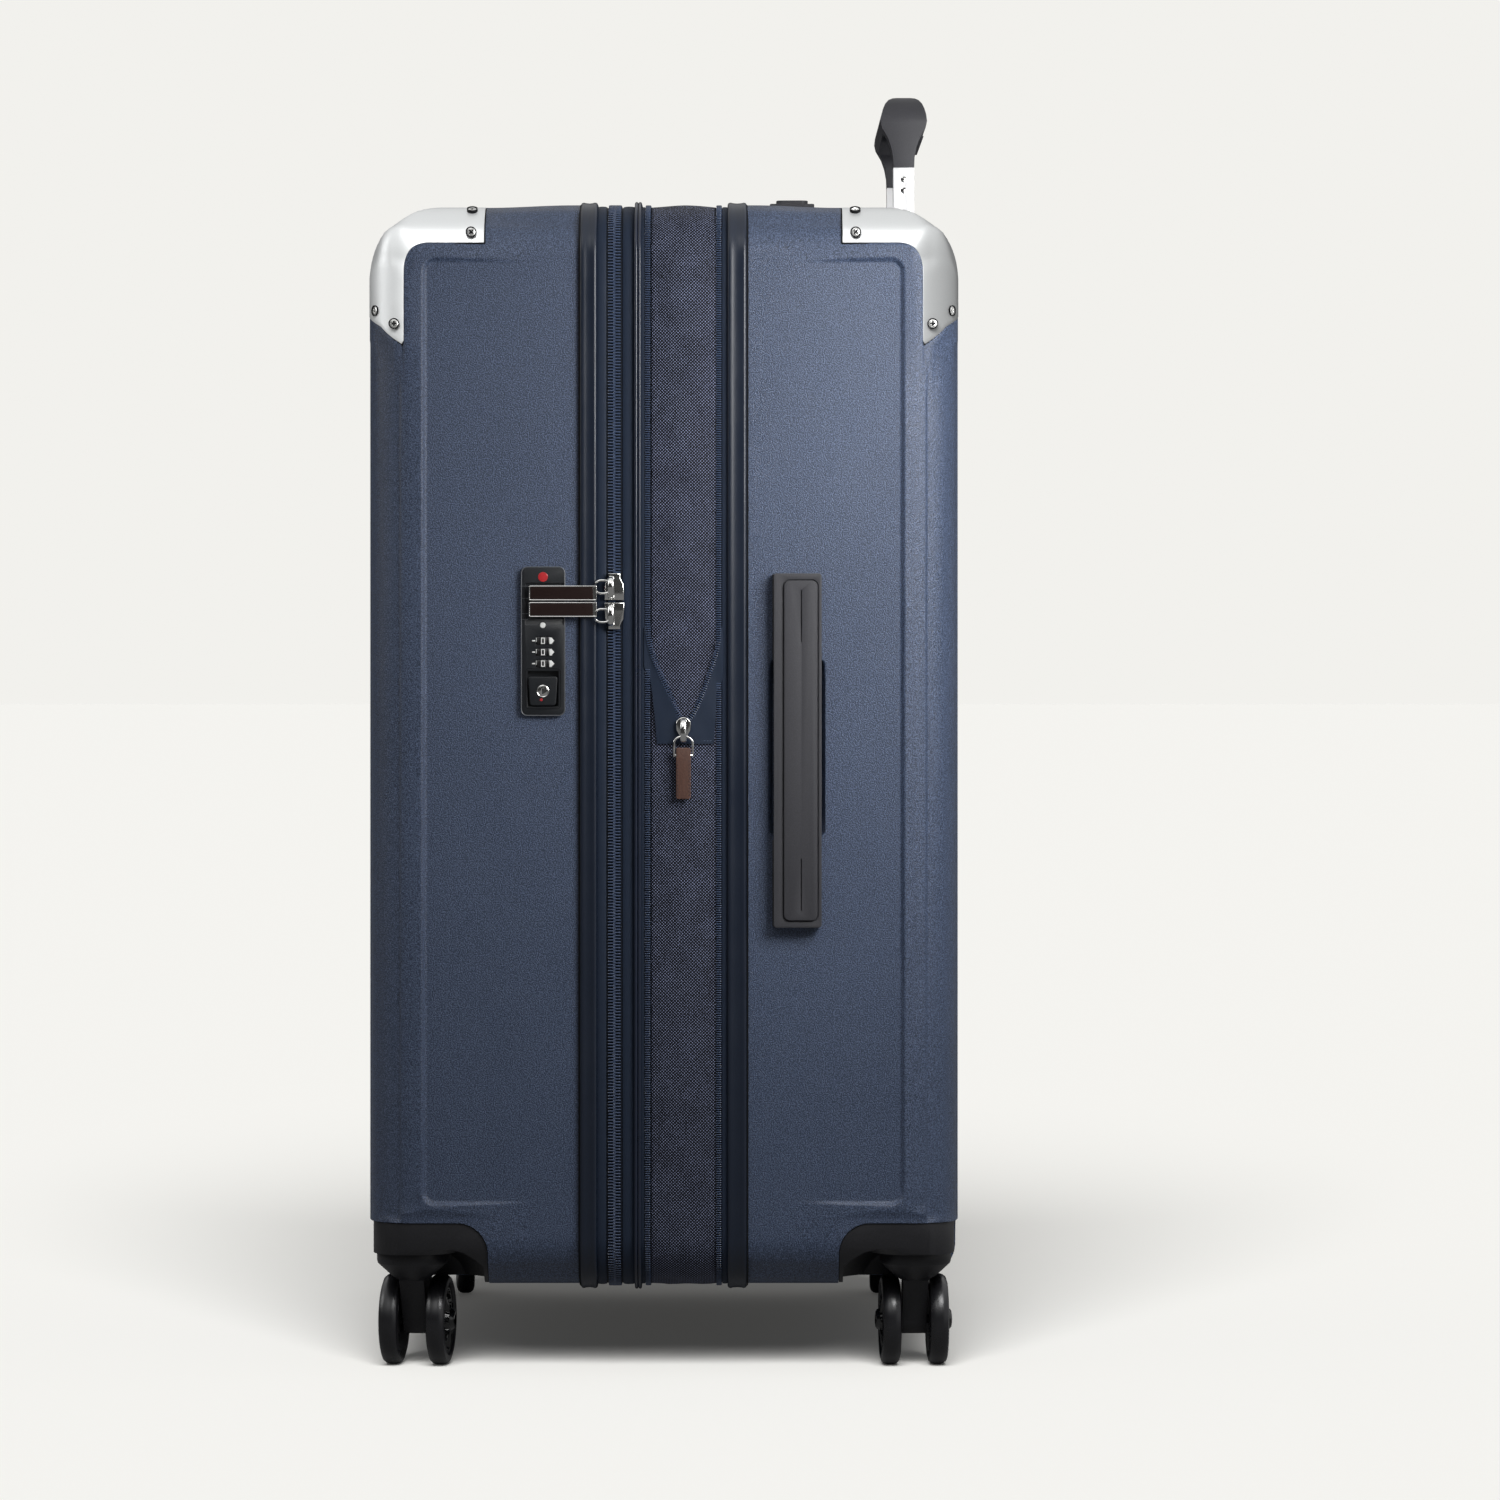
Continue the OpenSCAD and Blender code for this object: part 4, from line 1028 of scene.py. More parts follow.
class ZipTrack:
    """Rows of zip teeth."""

    @staticmethod
    def row(name: str, places: np.ndarray, along: np.ndarray, out: np.ndarray, width: float, pitch: float, body: str,
            high: float = 1.1) -> bpy.types.Object:
        """Makes a row of teeth.

        Args:
            name: The piece's name.
            places: The middle of each tooth's foot.
            along: Direction of the row at each tooth.
            out: Outward direction at each tooth.
            width: Length of a tooth across the row.
            pitch: Spacing of the teeth.
            body: The body that the row rides on.
            high: Height of the teeth.

        Returns:
            The piece.
        """
        across = np.cross(out, along)
        turn = np.radians([20, 90, 160, 220, 320])
        a, c = np.cos(turn) * pitch * 0.3, np.sin(turn) * high * 0.5
        stations = [(-0.5, 0.55), (-0.34, 1.0), (0.34, 1.0), (0.5, 0.55)]
        shape = np.array([(u * s, w * width, v * s) for w, s in stations for u, v in zip(a, c)])
        points = (places[:, None] + along[:, None] * shape[None, :, :1] + across[:, None] * shape[None, :, 1:2]
                  + out[:, None] * (shape[None, :, 2:3] + high * 0.3)).reshape(-1, 3)
        per, ring = len(shape), len(turn)
        one = quads(len(stations), ring, wrap=True)
        base = np.arange(len(places))[:, None, None] * per
        rows = (base + one[None]).reshape(-1, 4).tolist()
        for k in range(len(places)):
            rows.append([k * per + i for i in range(ring)])
            rows.append([k * per + per - 1 - i for i in range(ring)])
        mesh = bpy.data.meshes.new(name)
        mesh.from_pydata((points * MM).tolist(), [], rows)
        mesh.polygons.foreach_set("use_smooth", np.ones(len(mesh.polygons), bool))
        made = bpy.data.objects.new(name, mesh)
        bpy.context.scene.collection.objects.link(made)
        mesh.materials.append(TEETH.build())
        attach(made, body)
        LOG.info("%s: %d teeth", name, len(places))
        return made

    @staticmethod
    def round_case(name: str, y: float, offset: float, width: float, pitch: float, body: str, shift: float = 0.0,
                   gap: bool = False, skip: Optional[Tuple[float, float]] = None) -> bpy.types.Object:
        """Makes a row that runs round the case.

        Args:
            name: The piece's name.
            y: Its depth.
            offset: Its distance outside the outline.
            width: Length of a tooth.
            pitch: Spacing of the teeth.
            body: The body that it rides on.
            shift: How far along the first tooth is.
            gap: Whether it leaves out the hinge.
            skip: Heights on the lock side between which there are none.

        Returns:
            The piece.
        """
        p, n, along = outline(4.0, 40, offset)
        p, n = np.concatenate([p, p[:1]]), np.concatenate([n, n[:1]])
        count = int(along[-1] / pitch)
        s = (np.arange(count) + 0.5) * along[-1] / count + shift
        s = np.mod(s, along[-1])
        at = np.stack([np.interp(s, along, p[:, i]) for i in range(2)], -1)
        out = np.stack([np.interp(s, along, n[:, i]) for i in range(2)], -1)
        keep = np.ones(len(at), bool)
        if gap:
            keep &= ~hinge_gap(at)
        if skip:
            keep &= ~((at[:, 0] > 240) & (at[:, 1] > skip[0]) & (at[:, 1] < skip[1]))
        at, out = at[keep], out[keep] / np.linalg.norm(out[keep], axis=1, keepdims=True)
        places = np.stack([at[:, 0], np.full(len(at), y), at[:, 1]], -1)
        normal = np.stack([out[:, 0], np.zeros(len(at)), out[:, 1]], -1)
        tangent = np.stack([-out[:, 1], np.zeros(len(at)), out[:, 0]], -1)
        return ZipTrack.row(name, places, tangent, normal, width, pitch, body)

    @staticmethod
    def on_side(name: str, path: Sequence[Tuple[float, float]], x: float, width: float, pitch: float,
                body: str) -> bpy.types.Object:
        """Makes a row along a free path on the lock side.

        Args:
            name: The piece's name.
            path: Points of the path, as Y and Z.
            x: Height of the teeth's foot.
            width: Length of a tooth.
            pitch: Spacing of the teeth.
            body: The body that it rides on.

        Returns:
            The piece.
        """
        way = smooth_path(path)
        along = np.concatenate([[0], np.cumsum(np.linalg.norm(np.diff(way, axis=0), axis=1))])
        s = np.arange(pitch / 2, along[-1], pitch)
        at = np.stack([np.interp(s, along, way[:, i]) for i in range(2)], -1)
        ahead = np.stack([np.interp(s + 0.5, along, way[:, i]) - np.interp(s - 0.5, along, way[:, i])
                          for i in range(2)], -1)
        ahead /= np.linalg.norm(ahead, axis=1, keepdims=True)
        places = np.stack([np.full(len(at), x), at[:, 0], at[:, 1]], -1)
        tangent = np.stack([np.zeros(len(at)), ahead[:, 0], ahead[:, 1]], -1)
        normal = np.repeat([[1.0, 0.0, 0.0]], len(at), 0)
        return ZipTrack.row(name, places, tangent, normal, width, pitch, body)


def smooth_path(path: Sequence[Tuple[float, float]], steps: int = 12) -> np.ndarray:
    """Runs a smooth line through points.

    Args:
        path: The points.
        steps: Pieces that each stretch is cut into.

    Returns:
        Points on the line.
    """
    p = np.array(path, float)
    ends = np.concatenate([[2 * p[0] - p[1]], p, [2 * p[-1] - p[-2]]])
    out = []
    for i in range(1, len(ends) - 2):
        a, b, c, d = ends[i - 1], ends[i], ends[i + 1], ends[i + 2]
        for t in np.linspace(0, 1, steps, endpoint=False):
            out.append(0.5 * (2 * b + (c - a) * t + (2 * a - 5 * b + 4 * c - d) * t * t
                              + (3 * b - a - 3 * c + d) * t ** 3))
    out.append(p[-1])
    return np.array(out)


class Side(Enum):
    """The two halves of the case."""

    FRONT = -1
    BACK = 1

    @property
    def word(self) -> str:
        """The half's name."""
        return "front" if self is Side.FRONT else "back"

    @property
    def body(self) -> str:
        """The body that the half rides on."""
        return "front_case" if self is Side.FRONT else "back_case"


def mirrored(points: np.ndarray, side: int, end: Side) -> np.ndarray:
    """Takes points of the front right corner to another corner.

    Args:
        points: The points.
        side: 1 for the lock side and -1 for the hinge side.
        end: The half.

    Returns:
        The points there.
    """
    return points * np.array([side, 1 if end is Side.FRONT else -1, 1])


@dataclass
class CornerGuard:
    """Metal guards on the top corners of one half, with their screws, and near-black rims round guards and screws
    that are painted shade where they meet the shell.
    """

    end: Side
    start_y: float = 117.5
    inner_z: float = 741.5
    inner_y: float = 170.5
    arc: float = 16.0
    wrap: float = 222.0
    corner: float = 2.0

    def strip(self, grow: float, proud: float) -> Tuple[np.ndarray, np.ndarray]:
        """The guard's outer face over the block, on the front right corner.

        Args:
            grow: How far its edges are moved outwards.
            proud: Its height over the block.

        Returns:
            Points and faces.
        """
        iy, iz, r = self.inner_y - grow, self.inner_z - grow, self.arc
        end_y = self.start_y - grow
        inner, outer = [], []
        for t in np.linspace(0, 1, 10):
            y = end_y + (iy - r - end_y) * t
            inner.append((y, iz))
            outer.append((y, FORM.high))
        for a in np.radians(np.linspace(6, 84, 14)):
            inner.append((iy - r + r * math.sin(a), iz - r + r * math.cos(a)))
            bend = math.tan(min(a, math.pi / 2 - a))
            oy, oz = iy - r, iz - r
            if a <= math.pi / 4:
                outer.append((oy + (FORM.half_d - oy) * bend, FORM.high))
            else:
                outer.append((FORM.half_d, oz + (FORM.high - oz) * bend))
        top, leg = iz - r, np.linspace(0, 1, 13)
        for t in leg:
            fall = (676.6 - grow * 1.6 - top) * min(1, t * 13 / 12)
            inner.append((iy + 1.5 * (t == 1), top + fall - 2.0 * (t == 1)))
            outer.append((FORM.half_d, top + (686 - grow * 1.3 - top) * t))
        inner, outer = np.array(inner), np.array(outer)
        side_steps = np.concatenate([[0.0, 0.02], np.linspace(0.08, 1, 12)])
        wrap_to = self.wrap - grow
        over = np.concatenate([np.linspace(FORM.half_w, wrap_to + 0.8, 16)[1:], [wrap_to]])
        rows = []
        for t in side_steps:
            yz = inner + (outer - inner) * t
            rows.append(np.stack([np.full(len(yz), FORM.half_w), -yz[:, 0], yz[:, 1]], -1))
        for x in over:
            z = outer[:, 1].copy()
            z[-len(leg):] += 8.0 * leg * min(1.0, (FORM.half_w - x) / 30)
            rows.append(np.stack([np.full(len(outer), x), -outer[:, 0], z], -1))
        box = np.concatenate(rows)
        on, n = FORM.project(box)
        points = on + n * (proud - FORM.crown(on, n))[:, None]
        return points, quads(len(rows), len(inner))

    def plate(self, grow: float, proud: float, deep: float) -> Tuple[np.ndarray, List[List[int]]]:
        """The guard's face with its edges turned down.

        Args:
            grow: How far its edges are moved outwards.
            proud: Its height over the block.
            deep: Depth of its edges.

        Returns:
            Points and faces.
        """
        points, faces = self.strip(grow, proud)
        rows = faces.tolist()
        under, _ = self.strip(grow, proud - deep)
        n = len(points)
        used: Dict[Tuple[int, int], int] = {}
        for f in rows:
            for a, b in zip(f, f[1:] + f[:1]):
                used[(min(a, b), max(a, b))] = used.get((min(a, b), max(a, b)), 0) + 1
        rim = {e for e, count in used.items() if count == 1}
        skirt = []
        for f in rows:
            for a, b in zip(f, f[1:] + f[:1]):
                if (min(a, b), max(a, b)) in rim:
                    skirt.append([b, a, a + n, b + n])
        return np.concatenate([points, under]), rows + [[i + n for i in reversed(f)] for f in rows] + skirt

    def screw_places(self) -> List[Tuple[np.ndarray, np.ndarray]]:
        """Where the screws are on the front right corner.

        Returns:
            The middle and direction of each.
        """
        w, d, r, q = FORM.half_w, FORM.half_d, FORM.round_side_top, FORM.round_front_side
        a, b = math.radians(64), math.radians(57)
        up = np.array([math.cos(a), 0, math.sin(a)])
        out = np.array([math.cos(b), -math.sin(b), 0])
        return [(np.array([w, -176.5, 688.0]), np.array([1.0, 0, 0])),
                (np.array([w, -126.0, 748.0]), np.array([1.0, 0, 0])),
                (np.array([w - r, -126.0, FORM.high - r]) + up * (r - 1.0), up),
                (np.array([w - q, q - d, 697.0]) + out * q, out)]

    @staticmethod
    def screw(middle: np.ndarray, way: np.ndarray, radius: float, turn: float) -> Tuple[np.ndarray, np.ndarray]:
        """A domed screw head with a cross in it.

        Args:
            middle: The middle of its foot.
            way: Its direction.
            radius: Its radius.
            turn: How far it is turned, in radians.

        Returns:
            Points and faces.
        """
        rings = np.concatenate([np.linspace(0.02, 0.62, 12), np.linspace(0.7, 1.0, 6), [1.0]]) * radius
        angles = np.linspace(0, 2 * math.pi, 48, endpoint=False)
        r, a = np.meshgrid(rings, angles, indexing="ij")
        u, v = r * np.cos(a), r * np.sin(a)
        dome = 0.34 * radius * np.sqrt(np.maximum(0, 1 - (r / radius / 1.02) ** 2)) + 0.1
        cross = np.minimum(np.maximum(np.abs(u) - 0.2 * radius, np.abs(v) - 0.56 * radius),
                           np.maximum(np.abs(v) - 0.2 * radius, np.abs(u) - 0.56 * radius))
        high = dome - 0.34 * radius * ease(0.04 * radius, -0.12 * radius, cross)
        high[-1] = -1.2
        c, s = math.cos(turn), math.sin(turn)
        u, v = u * c - v * s, u * s + v * c
        side = np.cross(way, [0.0, 0.0, 1.0] if abs(way[2]) < 0.9 else [0.0, 1.0, 0.0])
        side /= np.linalg.norm(side)
        up = np.cross(side, way)
        points = middle + u[..., None] * side + v[..., None] * up + high[..., None] * way
        return points.reshape(-1, 3), quads(len(rings), len(angles), wrap=True)

    def build(self) -> None:
        """Builds the guards, their painted shade rims and the screws of both corners."""
        plates, shade_rims, heads = [], [], []
        for side in (-1, 1):
            plates.append((mirrored(self.plate(0, 0.25, 1.1)[0], side, self.end), self.plate(0, 0.25, 1.1)[1]))
            # Near-black rim just outside the guard's edge: painted shade where the guard meets the shell.
            shade_rims.append((mirrored(self.plate(0.8, -0.45, 0.5)[0], side, self.end), self.plate(0.8, -0.45, 0.5)[1]))
            for k, (middle, way) in enumerate(self.screw_places()):
                points, faces = self.screw(middle + way * 0.1, way, 3.2, 0.5 + 0.9 * k + side)
                heads.append((mirrored(points, side, self.end), faces.tolist()))
                # Dark ring under each screw head: painted shade round the screw.
                foot = rod(middle - way * 0.4, middle + way * 0.3, 3.55, 24)
                shade_rims.append((mirrored(foot[0], side, self.end), foot[1]))
        word = self.end.word
        for name, parts, finish, bevel, stands in (
                (f"{word}_guard_plates", plates, GUARD, 0.35, (f"{word}_guards",)),
                (f"{word}_guard_gaskets", shade_rims, SHADE_BLACK, 0.0, ()),
                (f"{word}_guard_screw_heads", heads, SCREW, 0.0, (f"{word}_guard_screws",))):
            points, faces = joined(parts)
            Maker.piece(name, points, faces, finish, self.end.body, stands, bevel=bevel,
                        sharp=60 if bevel else 35)


def joined(parts: Sequence[Tuple[np.ndarray, Iterable[Sequence[int]]]]) -> Tuple[np.ndarray, List[List[int]]]:
    """Puts several meshes into one.

    Args:
        parts: Points and faces of each.

    Returns:
        The points and faces of all.
    """
    points, faces, total = [], [], 0
    for p, f in parts:
        points.append(np.asarray(p, float))
        faces += [[int(i) + total for i in row] for row in f]
        total += len(p)
    return np.concatenate(points), faces


def lathe(profile: Sequence[Tuple[float, float]], turns: int = 72,
          shape: Optional[Callable[[np.ndarray, np.ndarray, np.ndarray], np.ndarray]] = None
          ) -> Tuple[np.ndarray, np.ndarray]:
    """Turns a profile about the Y axis.

    Args:
        profile: Radii and places along the axis.
        turns: Steps round it.
        shape: Gives a change along the axis from the radii, places and angles.

    Returns:
        Points and faces.
    """
    section = np.array(profile, float)
    a = np.linspace(0, 2 * math.pi, turns, endpoint=False)
    r, angle = np.meshgrid(section[:, 0], a, indexing="ij")
    y = np.repeat(section[:, 1:2], turns, 1)
    if shape is not None:
        y = y + shape(r, y, angle)
    points = np.stack([r * np.cos(angle), y, r * np.sin(angle)], -1).reshape(-1, 3)
    return points, quads(len(section), turns, wrap=True)


@dataclass
class Caster:
    """One swivelling caster: its fork and two wheels."""

    corner: str
    turn: float
    x: float = 220.0
    y: float = 166.0
    trail: float = 20.0
    axle: float = 30.0

    def place(self, points: np.ndarray) -> np.ndarray:
        """Takes points from the caster's own frame, with its wheels trailing along X, to its corner.

        Args:
            points: The points.

        Returns:
            The points in place.
        """
        a = math.radians(180 + self.turn)
        c, s = math.cos(a), math.sin(a)
        sx, sy = (1 if self.corner[1] == "r" else -1), (1 if self.corner[0] == "b" else -1)
        x, y = points[:, 0] * c - points[:, 1] * s, points[:, 0] * s + points[:, 1] * c
        return np.stack([x + sx * self.x, y + sy * self.y, points[:, 2]], -1)

    def wheel(self, letter: str, side: int) -> None:
        """Builds a wheel: its tread, its spoked hub and its cap.

        Args:
            letter: The wheel's letter.
            side: 1 or -1, the side of the fork that it is on.
        """
        near, far = 9.2, 22.2
        tread = [(21.0, near + 0.6), (25.0, near), (28.0, near + 0.9), (29.4, near + 2.6), (30.0, near + 4.6),
                 (30.0, far - 4.6), (29.4, far - 2.6), (28.0, far - 0.9), (25.6, far - 0.1), (23.6, far - 0.3),
                 (22.8, far - 1.6),
                 (21.0, far - 2.0), (21.0, near + 0.6)]

        def spokes(r: np.ndarray, y: np.ndarray, angle: np.ndarray) -> np.ndarray:
            """Sinks the hub between its spokes.

            Args:
                r: Radii.
                y: Places along the axis.
                angle: Angles.

            Returns:
                The change along the axis.
            """
            share = np.abs(np.mod(angle * 7 / (2 * math.pi) + 0.06 * (r - 8) / 12, 1) - 0.5) * 2
            half = share * 2 * math.pi / 7 / 2 * r
            ring = ease(8.2, 9.6, r) * ease(19.8, 18.4, r)
            return -3.0 * ring * ease(1.3, 2.4, half) * (y > near + 4)

        hub = [(3.2, near + 0.3), (21.2, near + 0.3), (21.2, far - 2.2)] + [
            (r, far - 1.5 + 2.2 * (1 - (r / 21.0) ** 2)) for r in np.linspace(20.8, 7.6, 22)] + [
            (7.0, far + 1.0), (6.4, far + 2.2), (5.2, far + 3.0), (3.4, far + 3.3)]
        for name, profile, finish, shape, turns in (
                ("tread", tread, TYRE, None, 96), ("hub", hub, GLOSS, spokes, 140)):
            points, faces = lathe(profile, turns, shape)
            points = points * np.array([1, side, 1]) + np.array([self.trail, 0, self.axle])
            node = f"caster_{self.corner}_wheel_{letter}"
            Maker.piece(f"{node}_{name}", self.place(points), faces, finish, f"wheel_{self.corner}_{letter}",
                        (node,), sharp=32)
        cap = [(0.05, far + 3.0), (2.6, far + 2.95), (3.0, far + 2.6), (3.2, far + 1.4), (0.05, far + 1.0)]
        points, faces = lathe(cap, 40)
        points = points * np.array([1, side, 1]) + np.array([self.trail, 0, self.axle])
        Maker.piece(f"caster_{self.corner}_cap_{letter}", self.place(points), faces, CHROME,
                    f"wheel_{self.corner}_{letter}")

    def build(self) -> None:
        """Builds the caster."""
        Maker.refined(f"caster_{self.corner}_fork", PLASTIC, 1.1, segments=3)
        self.wheel("a", 1)
        self.wheel("b", -1)


@dataclass
class Trims:
    """Everything that runs round the seam: rims, tapes, teeth, piping, and near-black strips of painted shade in the
    gaps.
    """

    edge: float = 54.5
    front_in: float = 43.5
    back_in: float = 42.0
    main_zip: float = -32.0
    piping: Tuple[float, float] = (-19.0, -14.6)

    def rims(self) -> None:
        """Builds the two rims that grip the shells, and beside each a near-black lip that is painted shade in the gap
        to the shell.
        """
        for end, inner in ((Side.FRONT, self.front_in), (Side.BACK, self.back_in)):
            s = end.value
            o = self.edge
            edges = [(o, -3.2), (o, 0.2), (o - 0.35, 0.85), (o - 1.0, 1.25), (o - 1.9, 1.4), (o - 3.2, 1.05),
                     ((o + inner) / 2, 0.8), (inner + 3.4, 1.05), (inner + 2.2, 1.42), (inner + 1.2, 1.3),
                     (inner + 0.5, 0.85), (inner + 0.1, 0.1), (inner, -0.9), (inner, -6.9), (o - 4.2, -6.9),
                     (o - 4.2, -3.2)]
            profile = [(s * a, b) for a, b in edges]
            band(f"{end.word}_rim_trim", profile, TRIM, end.body, (f"{end.word}_rim",), sharp=35)
            # Near-black lip at the rim's outer edge: painted shade in the gap between rim and shell.
            lip = [(s * (o + 0.05), -3.4), (s * (o + 0.05), 0.15), (s * (o + 0.9), -0.55), (s * (o + 1.25), -2.2),
                   (s * (o + 1.3), -3.4)]
            band(f"{end.word}_rim_seal", lip, SHADE_BLACK, end.body, sharp=60)

    def tapes(self) -> None:
        """Builds the sewn tapes, the piping and the seams, with near-black strips under the teeth and under the
        piping cords that are painted shade.
        """
        z = self.main_zip
        band("front_tape", self._tape(-self.front_in, z - 5.4, 0.5), TAPE, "front_case", ("front_zip_tape",),
             gap=True)
        # The dark strips under the teeth, here and below, are painted shade under and between the teeth.
        band("front_channel", [(z - 5.5, -2.2), (z - 0.3, -2.2), (z - 0.3, -3.0), (z - 5.5, -3.0)], TEETH_SHADE,
             "front_case",
             gap=True)
        band("mid_tape_front", self._tape(z + 5.4, self.piping[0], 0.5), TAPE, "mid_frame", ("mid_tape",), gap=True)
        band("mid_channel", [(z + 0.3, -2.2), (z + 5.5, -2.2), (z + 5.5, -3.0), (z + 0.3, -3.0)], TEETH_SHADE,
             "mid_frame",
             gap=True)
        band("mid_tape_back", self._tape(self.piping[1], -12.3, 0.1), TAPE, "mid_frame")
        band("expansion_channel", [(-12.3, -2.3), (-8.0, -2.3), (-8.0, -3.0), (-12.3, -3.0)], TEETH_SHADE, "mid_frame")
        band("back_channel", [(34.5, -2.3), (38.6, -2.3), (38.6, -3.0), (34.5, -3.0)], TEETH_SHADE, "back_case")
        band("back_tape", self._tape(38.6, self.back_in, 0.15), TAPE, "back_case", ("back_zip_tape",))
        a, b = self.piping
        m = (a + b) / 2
        cords = []
        for c in (a + 1.05, b - 1.05):
            turns = np.linspace(0, 2 * math.pi, 14)[:-1]
            cords.append([(c + 1.12 * math.cos(t), 0.72 + 1.08 * math.sin(t)) for t in turns])
        band("piping_front", cords[0], PIPING, "mid_frame", ("mid_piping",), sharp=80)
        band("piping_back", cords[1], PIPING, "mid_frame", sharp=80)
        # Near-black flange: a real part, but its colour is painted shade in the crease between the piping cords.
        band("piping_flange", [(a, -0.4), (m, 0.0), (b, -0.4), (b, -3.0), (a, -3.0)], SHADE_BLACK, "mid_frame")

    @staticmethod
    def _tape(y0: float, y1: float, swell: float) -> List[Tuple[float, float]]:
        """Section of a tape that swells a little between its seams.

        Args:
            y0: One edge.
            y1: The other edge.
            swell: How far it swells.

        Returns:
            The section.
        """
        t = np.linspace(0, 1, 9)
        top = [(y0 + (y1 - y0) * k, -1.7 + swell * math.sin(math.pi * k) ** 0.6) for k in t]
        return top + [(y1, -3.0), (y0, -3.0)]

    def teeth(self) -> None:
        """Builds the rows of teeth that run round the case."""
        z = self.main_zip
        ZipTrack.round_case("main_teeth_front", z - 1.75, -1.2, 5.0, 2.0, "front_case", gap=True)
        ZipTrack.round_case("main_teeth_mid", z + 1.75, -1.2, 5.0, 2.0, "mid_frame", shift=1.0, gap=True)
        ZipTrack.round_case("expansion_teeth_mid", -10.2, -1.3, 3.6, 1.5, "mid_frame", skip=(462, 487))
        ZipTrack.round_case("expansion_teeth_back", 36.4, -1.3, 3.6, 1.5, "back_case", skip=(453, 478))

    def build(self) -> None:
        """Builds all of it."""
        self.rims()
        self.tapes()
        self.teeth()


@dataclass
class Gusset:
    """The mesh cloth between the halves, with the flap and the open end of its zip on the lock side."""

    front: float = -8.2
    back: float = 34.7
    flap_high: float = 489.0
    flap_low: float = 412.6
    flap_parts: float = 428.0
    seam_z: float = 414.6
    slider_y: float = 13.4
    left: Tuple[Tuple[float, float], ...] = (
        (-9.9, 489), (-9.4, 482), (-6.7, 471), (-0.6, 456), (5.8, 442), (11.6, 428))
    right: Tuple[Tuple[float, float], ...] = (
        (36.2, 480), (34.6, 472), (30.3, 458.5), (25.9, 446), (20.2, 433), (16.2, 427))

    def _ripple(self, x: np.ndarray, y: np.ndarray, z: np.ndarray) -> np.ndarray:
        """Swells the cloth between its edges, and wrinkles it.

        Args:
            x: Places across.
            y: Depths.
            z: Heights.

        Returns:
            The change of offset.
        """
        t = (y - self.front) / (self.back - self.front)
        swell = np.sin(np.clip(t, 0, 1) * math.pi)
        soft = 0.28 * np.sin(z / 17 + 0.08 * y) * np.sin(y / 9 + z / 41) + 0.2 * np.sin(x / 13 + 0.1 * y)
        low = 1.3 * (z < 62) * np.sin(x / 31) * np.sin((x + y) / 9)
        return (1.35 * swell + (soft - np.abs(low)) * np.minimum(1, 4 * t * (1 - t))) * 1.0

    def cloth(self) -> None:
        """Builds the mesh cloth."""
        t = np.linspace(0, 1, 27)
        profile = [(self.front + (self.back - self.front) * k, -1.9) for k in t]
        made = band("gusset_cloth", profile, MESH, None, ("gusset",), straight=5.0, sharp=80, ripple=self._ripple,
                    closed=False)
        solid = made.modifiers.new("thickness", "SOLIDIFY")
        solid.thickness, solid.offset = 0.6 * MM, -1
        shaped = bpy.data.meshes.new_from_object(made.evaluated_get(bpy.context.evaluated_depsgraph_get()))
        made.modifiers.clear()
        made.data = shaped
        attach(made, "back_case")
        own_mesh(made)

    def flap(self) -> None:
        """Builds the smooth flap under the slider, with its seam."""
        left, right = smooth_path(self.left), smooth_path(self.right)
        seam_l = np.array([(-12.6, self.flap_high), (-12.6, 463), (-8.4, 455), (-7.4, 446), (-5.6, 430),
                           (-4.2, self.flap_low)])
        seam_r = np.array([(39.0, 480), (39.0, 455), (34.6, 446), (34.6, 438), (34.0, 424), (33.0, self.flap_low)])
        heights = np.linspace(self.flap_high, self.flap_low, 64)
        rows = []
        for z in heights:
            outer_l = np.interp(-z, -seam_l[:, 1], seam_l[:, 0])
            outer_r = np.interp(-z, -seam_r[:, 1], seam_r[:, 0])
            inner_l = np.interp(-z, -left[:, 1], left[:, 0]) - 1.2 if z > self.flap_parts else self.slider_y
            inner_r = np.interp(-z, -right[:, 1], right[:, 0]) + 1.2 if z > self.flap_parts else self.slider_y
            inner_l, inner_r = max(inner_l, outer_l + 0.02), min(inner_r, outer_r - 0.02)
            rows.append((z, outer_l, inner_l, inner_r, outer_r))
        parts = []
        for a, b in ((1, 2), (3, 4)):
            points = []
            for row in rows:
                for t in np.linspace(0, 1, 9):
                    y = row[a] + (row[b] - row[a]) * t
                    share = (y - self.front) / (self.back - self.front)
                    swell = math.sin(math.pi * min(max(share, 0), 1))
                    lift = 1.0 + 0.35 * swell + 0.22 * math.sin(y / 3.1 + row[0] / 8)
                    points.append((FORM.half_w - 1.7 + 1.35 * swell + lift * 0.55, y, row[0]))
            parts.append((np.array(points), quads(len(rows), 9)))
        points, faces = joined(parts)
        uv = points[:, 1:] * MM
        made = Maker.piece("gusset_flap", points, faces, TAPE, None, uv=uv, thick=0.5)
        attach(made, "back_case")
        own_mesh(made)
        stitches = []
        for y in np.arange(-3.0, 32.5, 2.0):
            share = (y - self.front) / (self.back - self.front)
            x = FORM.half_w - 1.7 + 1.35 * math.sin(math.pi * share) + 0.95
            stitches.append(rod(np.array([x, y - 0.65, self.seam_z]), np.array([x, y + 0.65, self.seam_z]), 0.22, 6))
        points, faces = joined(stitches)
        made = Maker.piece("flap_stitches", points, faces, THREAD, "back_case")
        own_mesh(made)

    def build(self) -> None:
        """Builds the cloth, the flap and the slanting rows of teeth."""
        self.cloth()
        self.flap()
        for name, path in (("v_teeth_left", self.left), ("v_teeth_right", self.right)):
            made = ZipTrack.on_side(name, path, FORM.half_w - 0.1, 3.6, 1.5, "back_case")
            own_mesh(made)


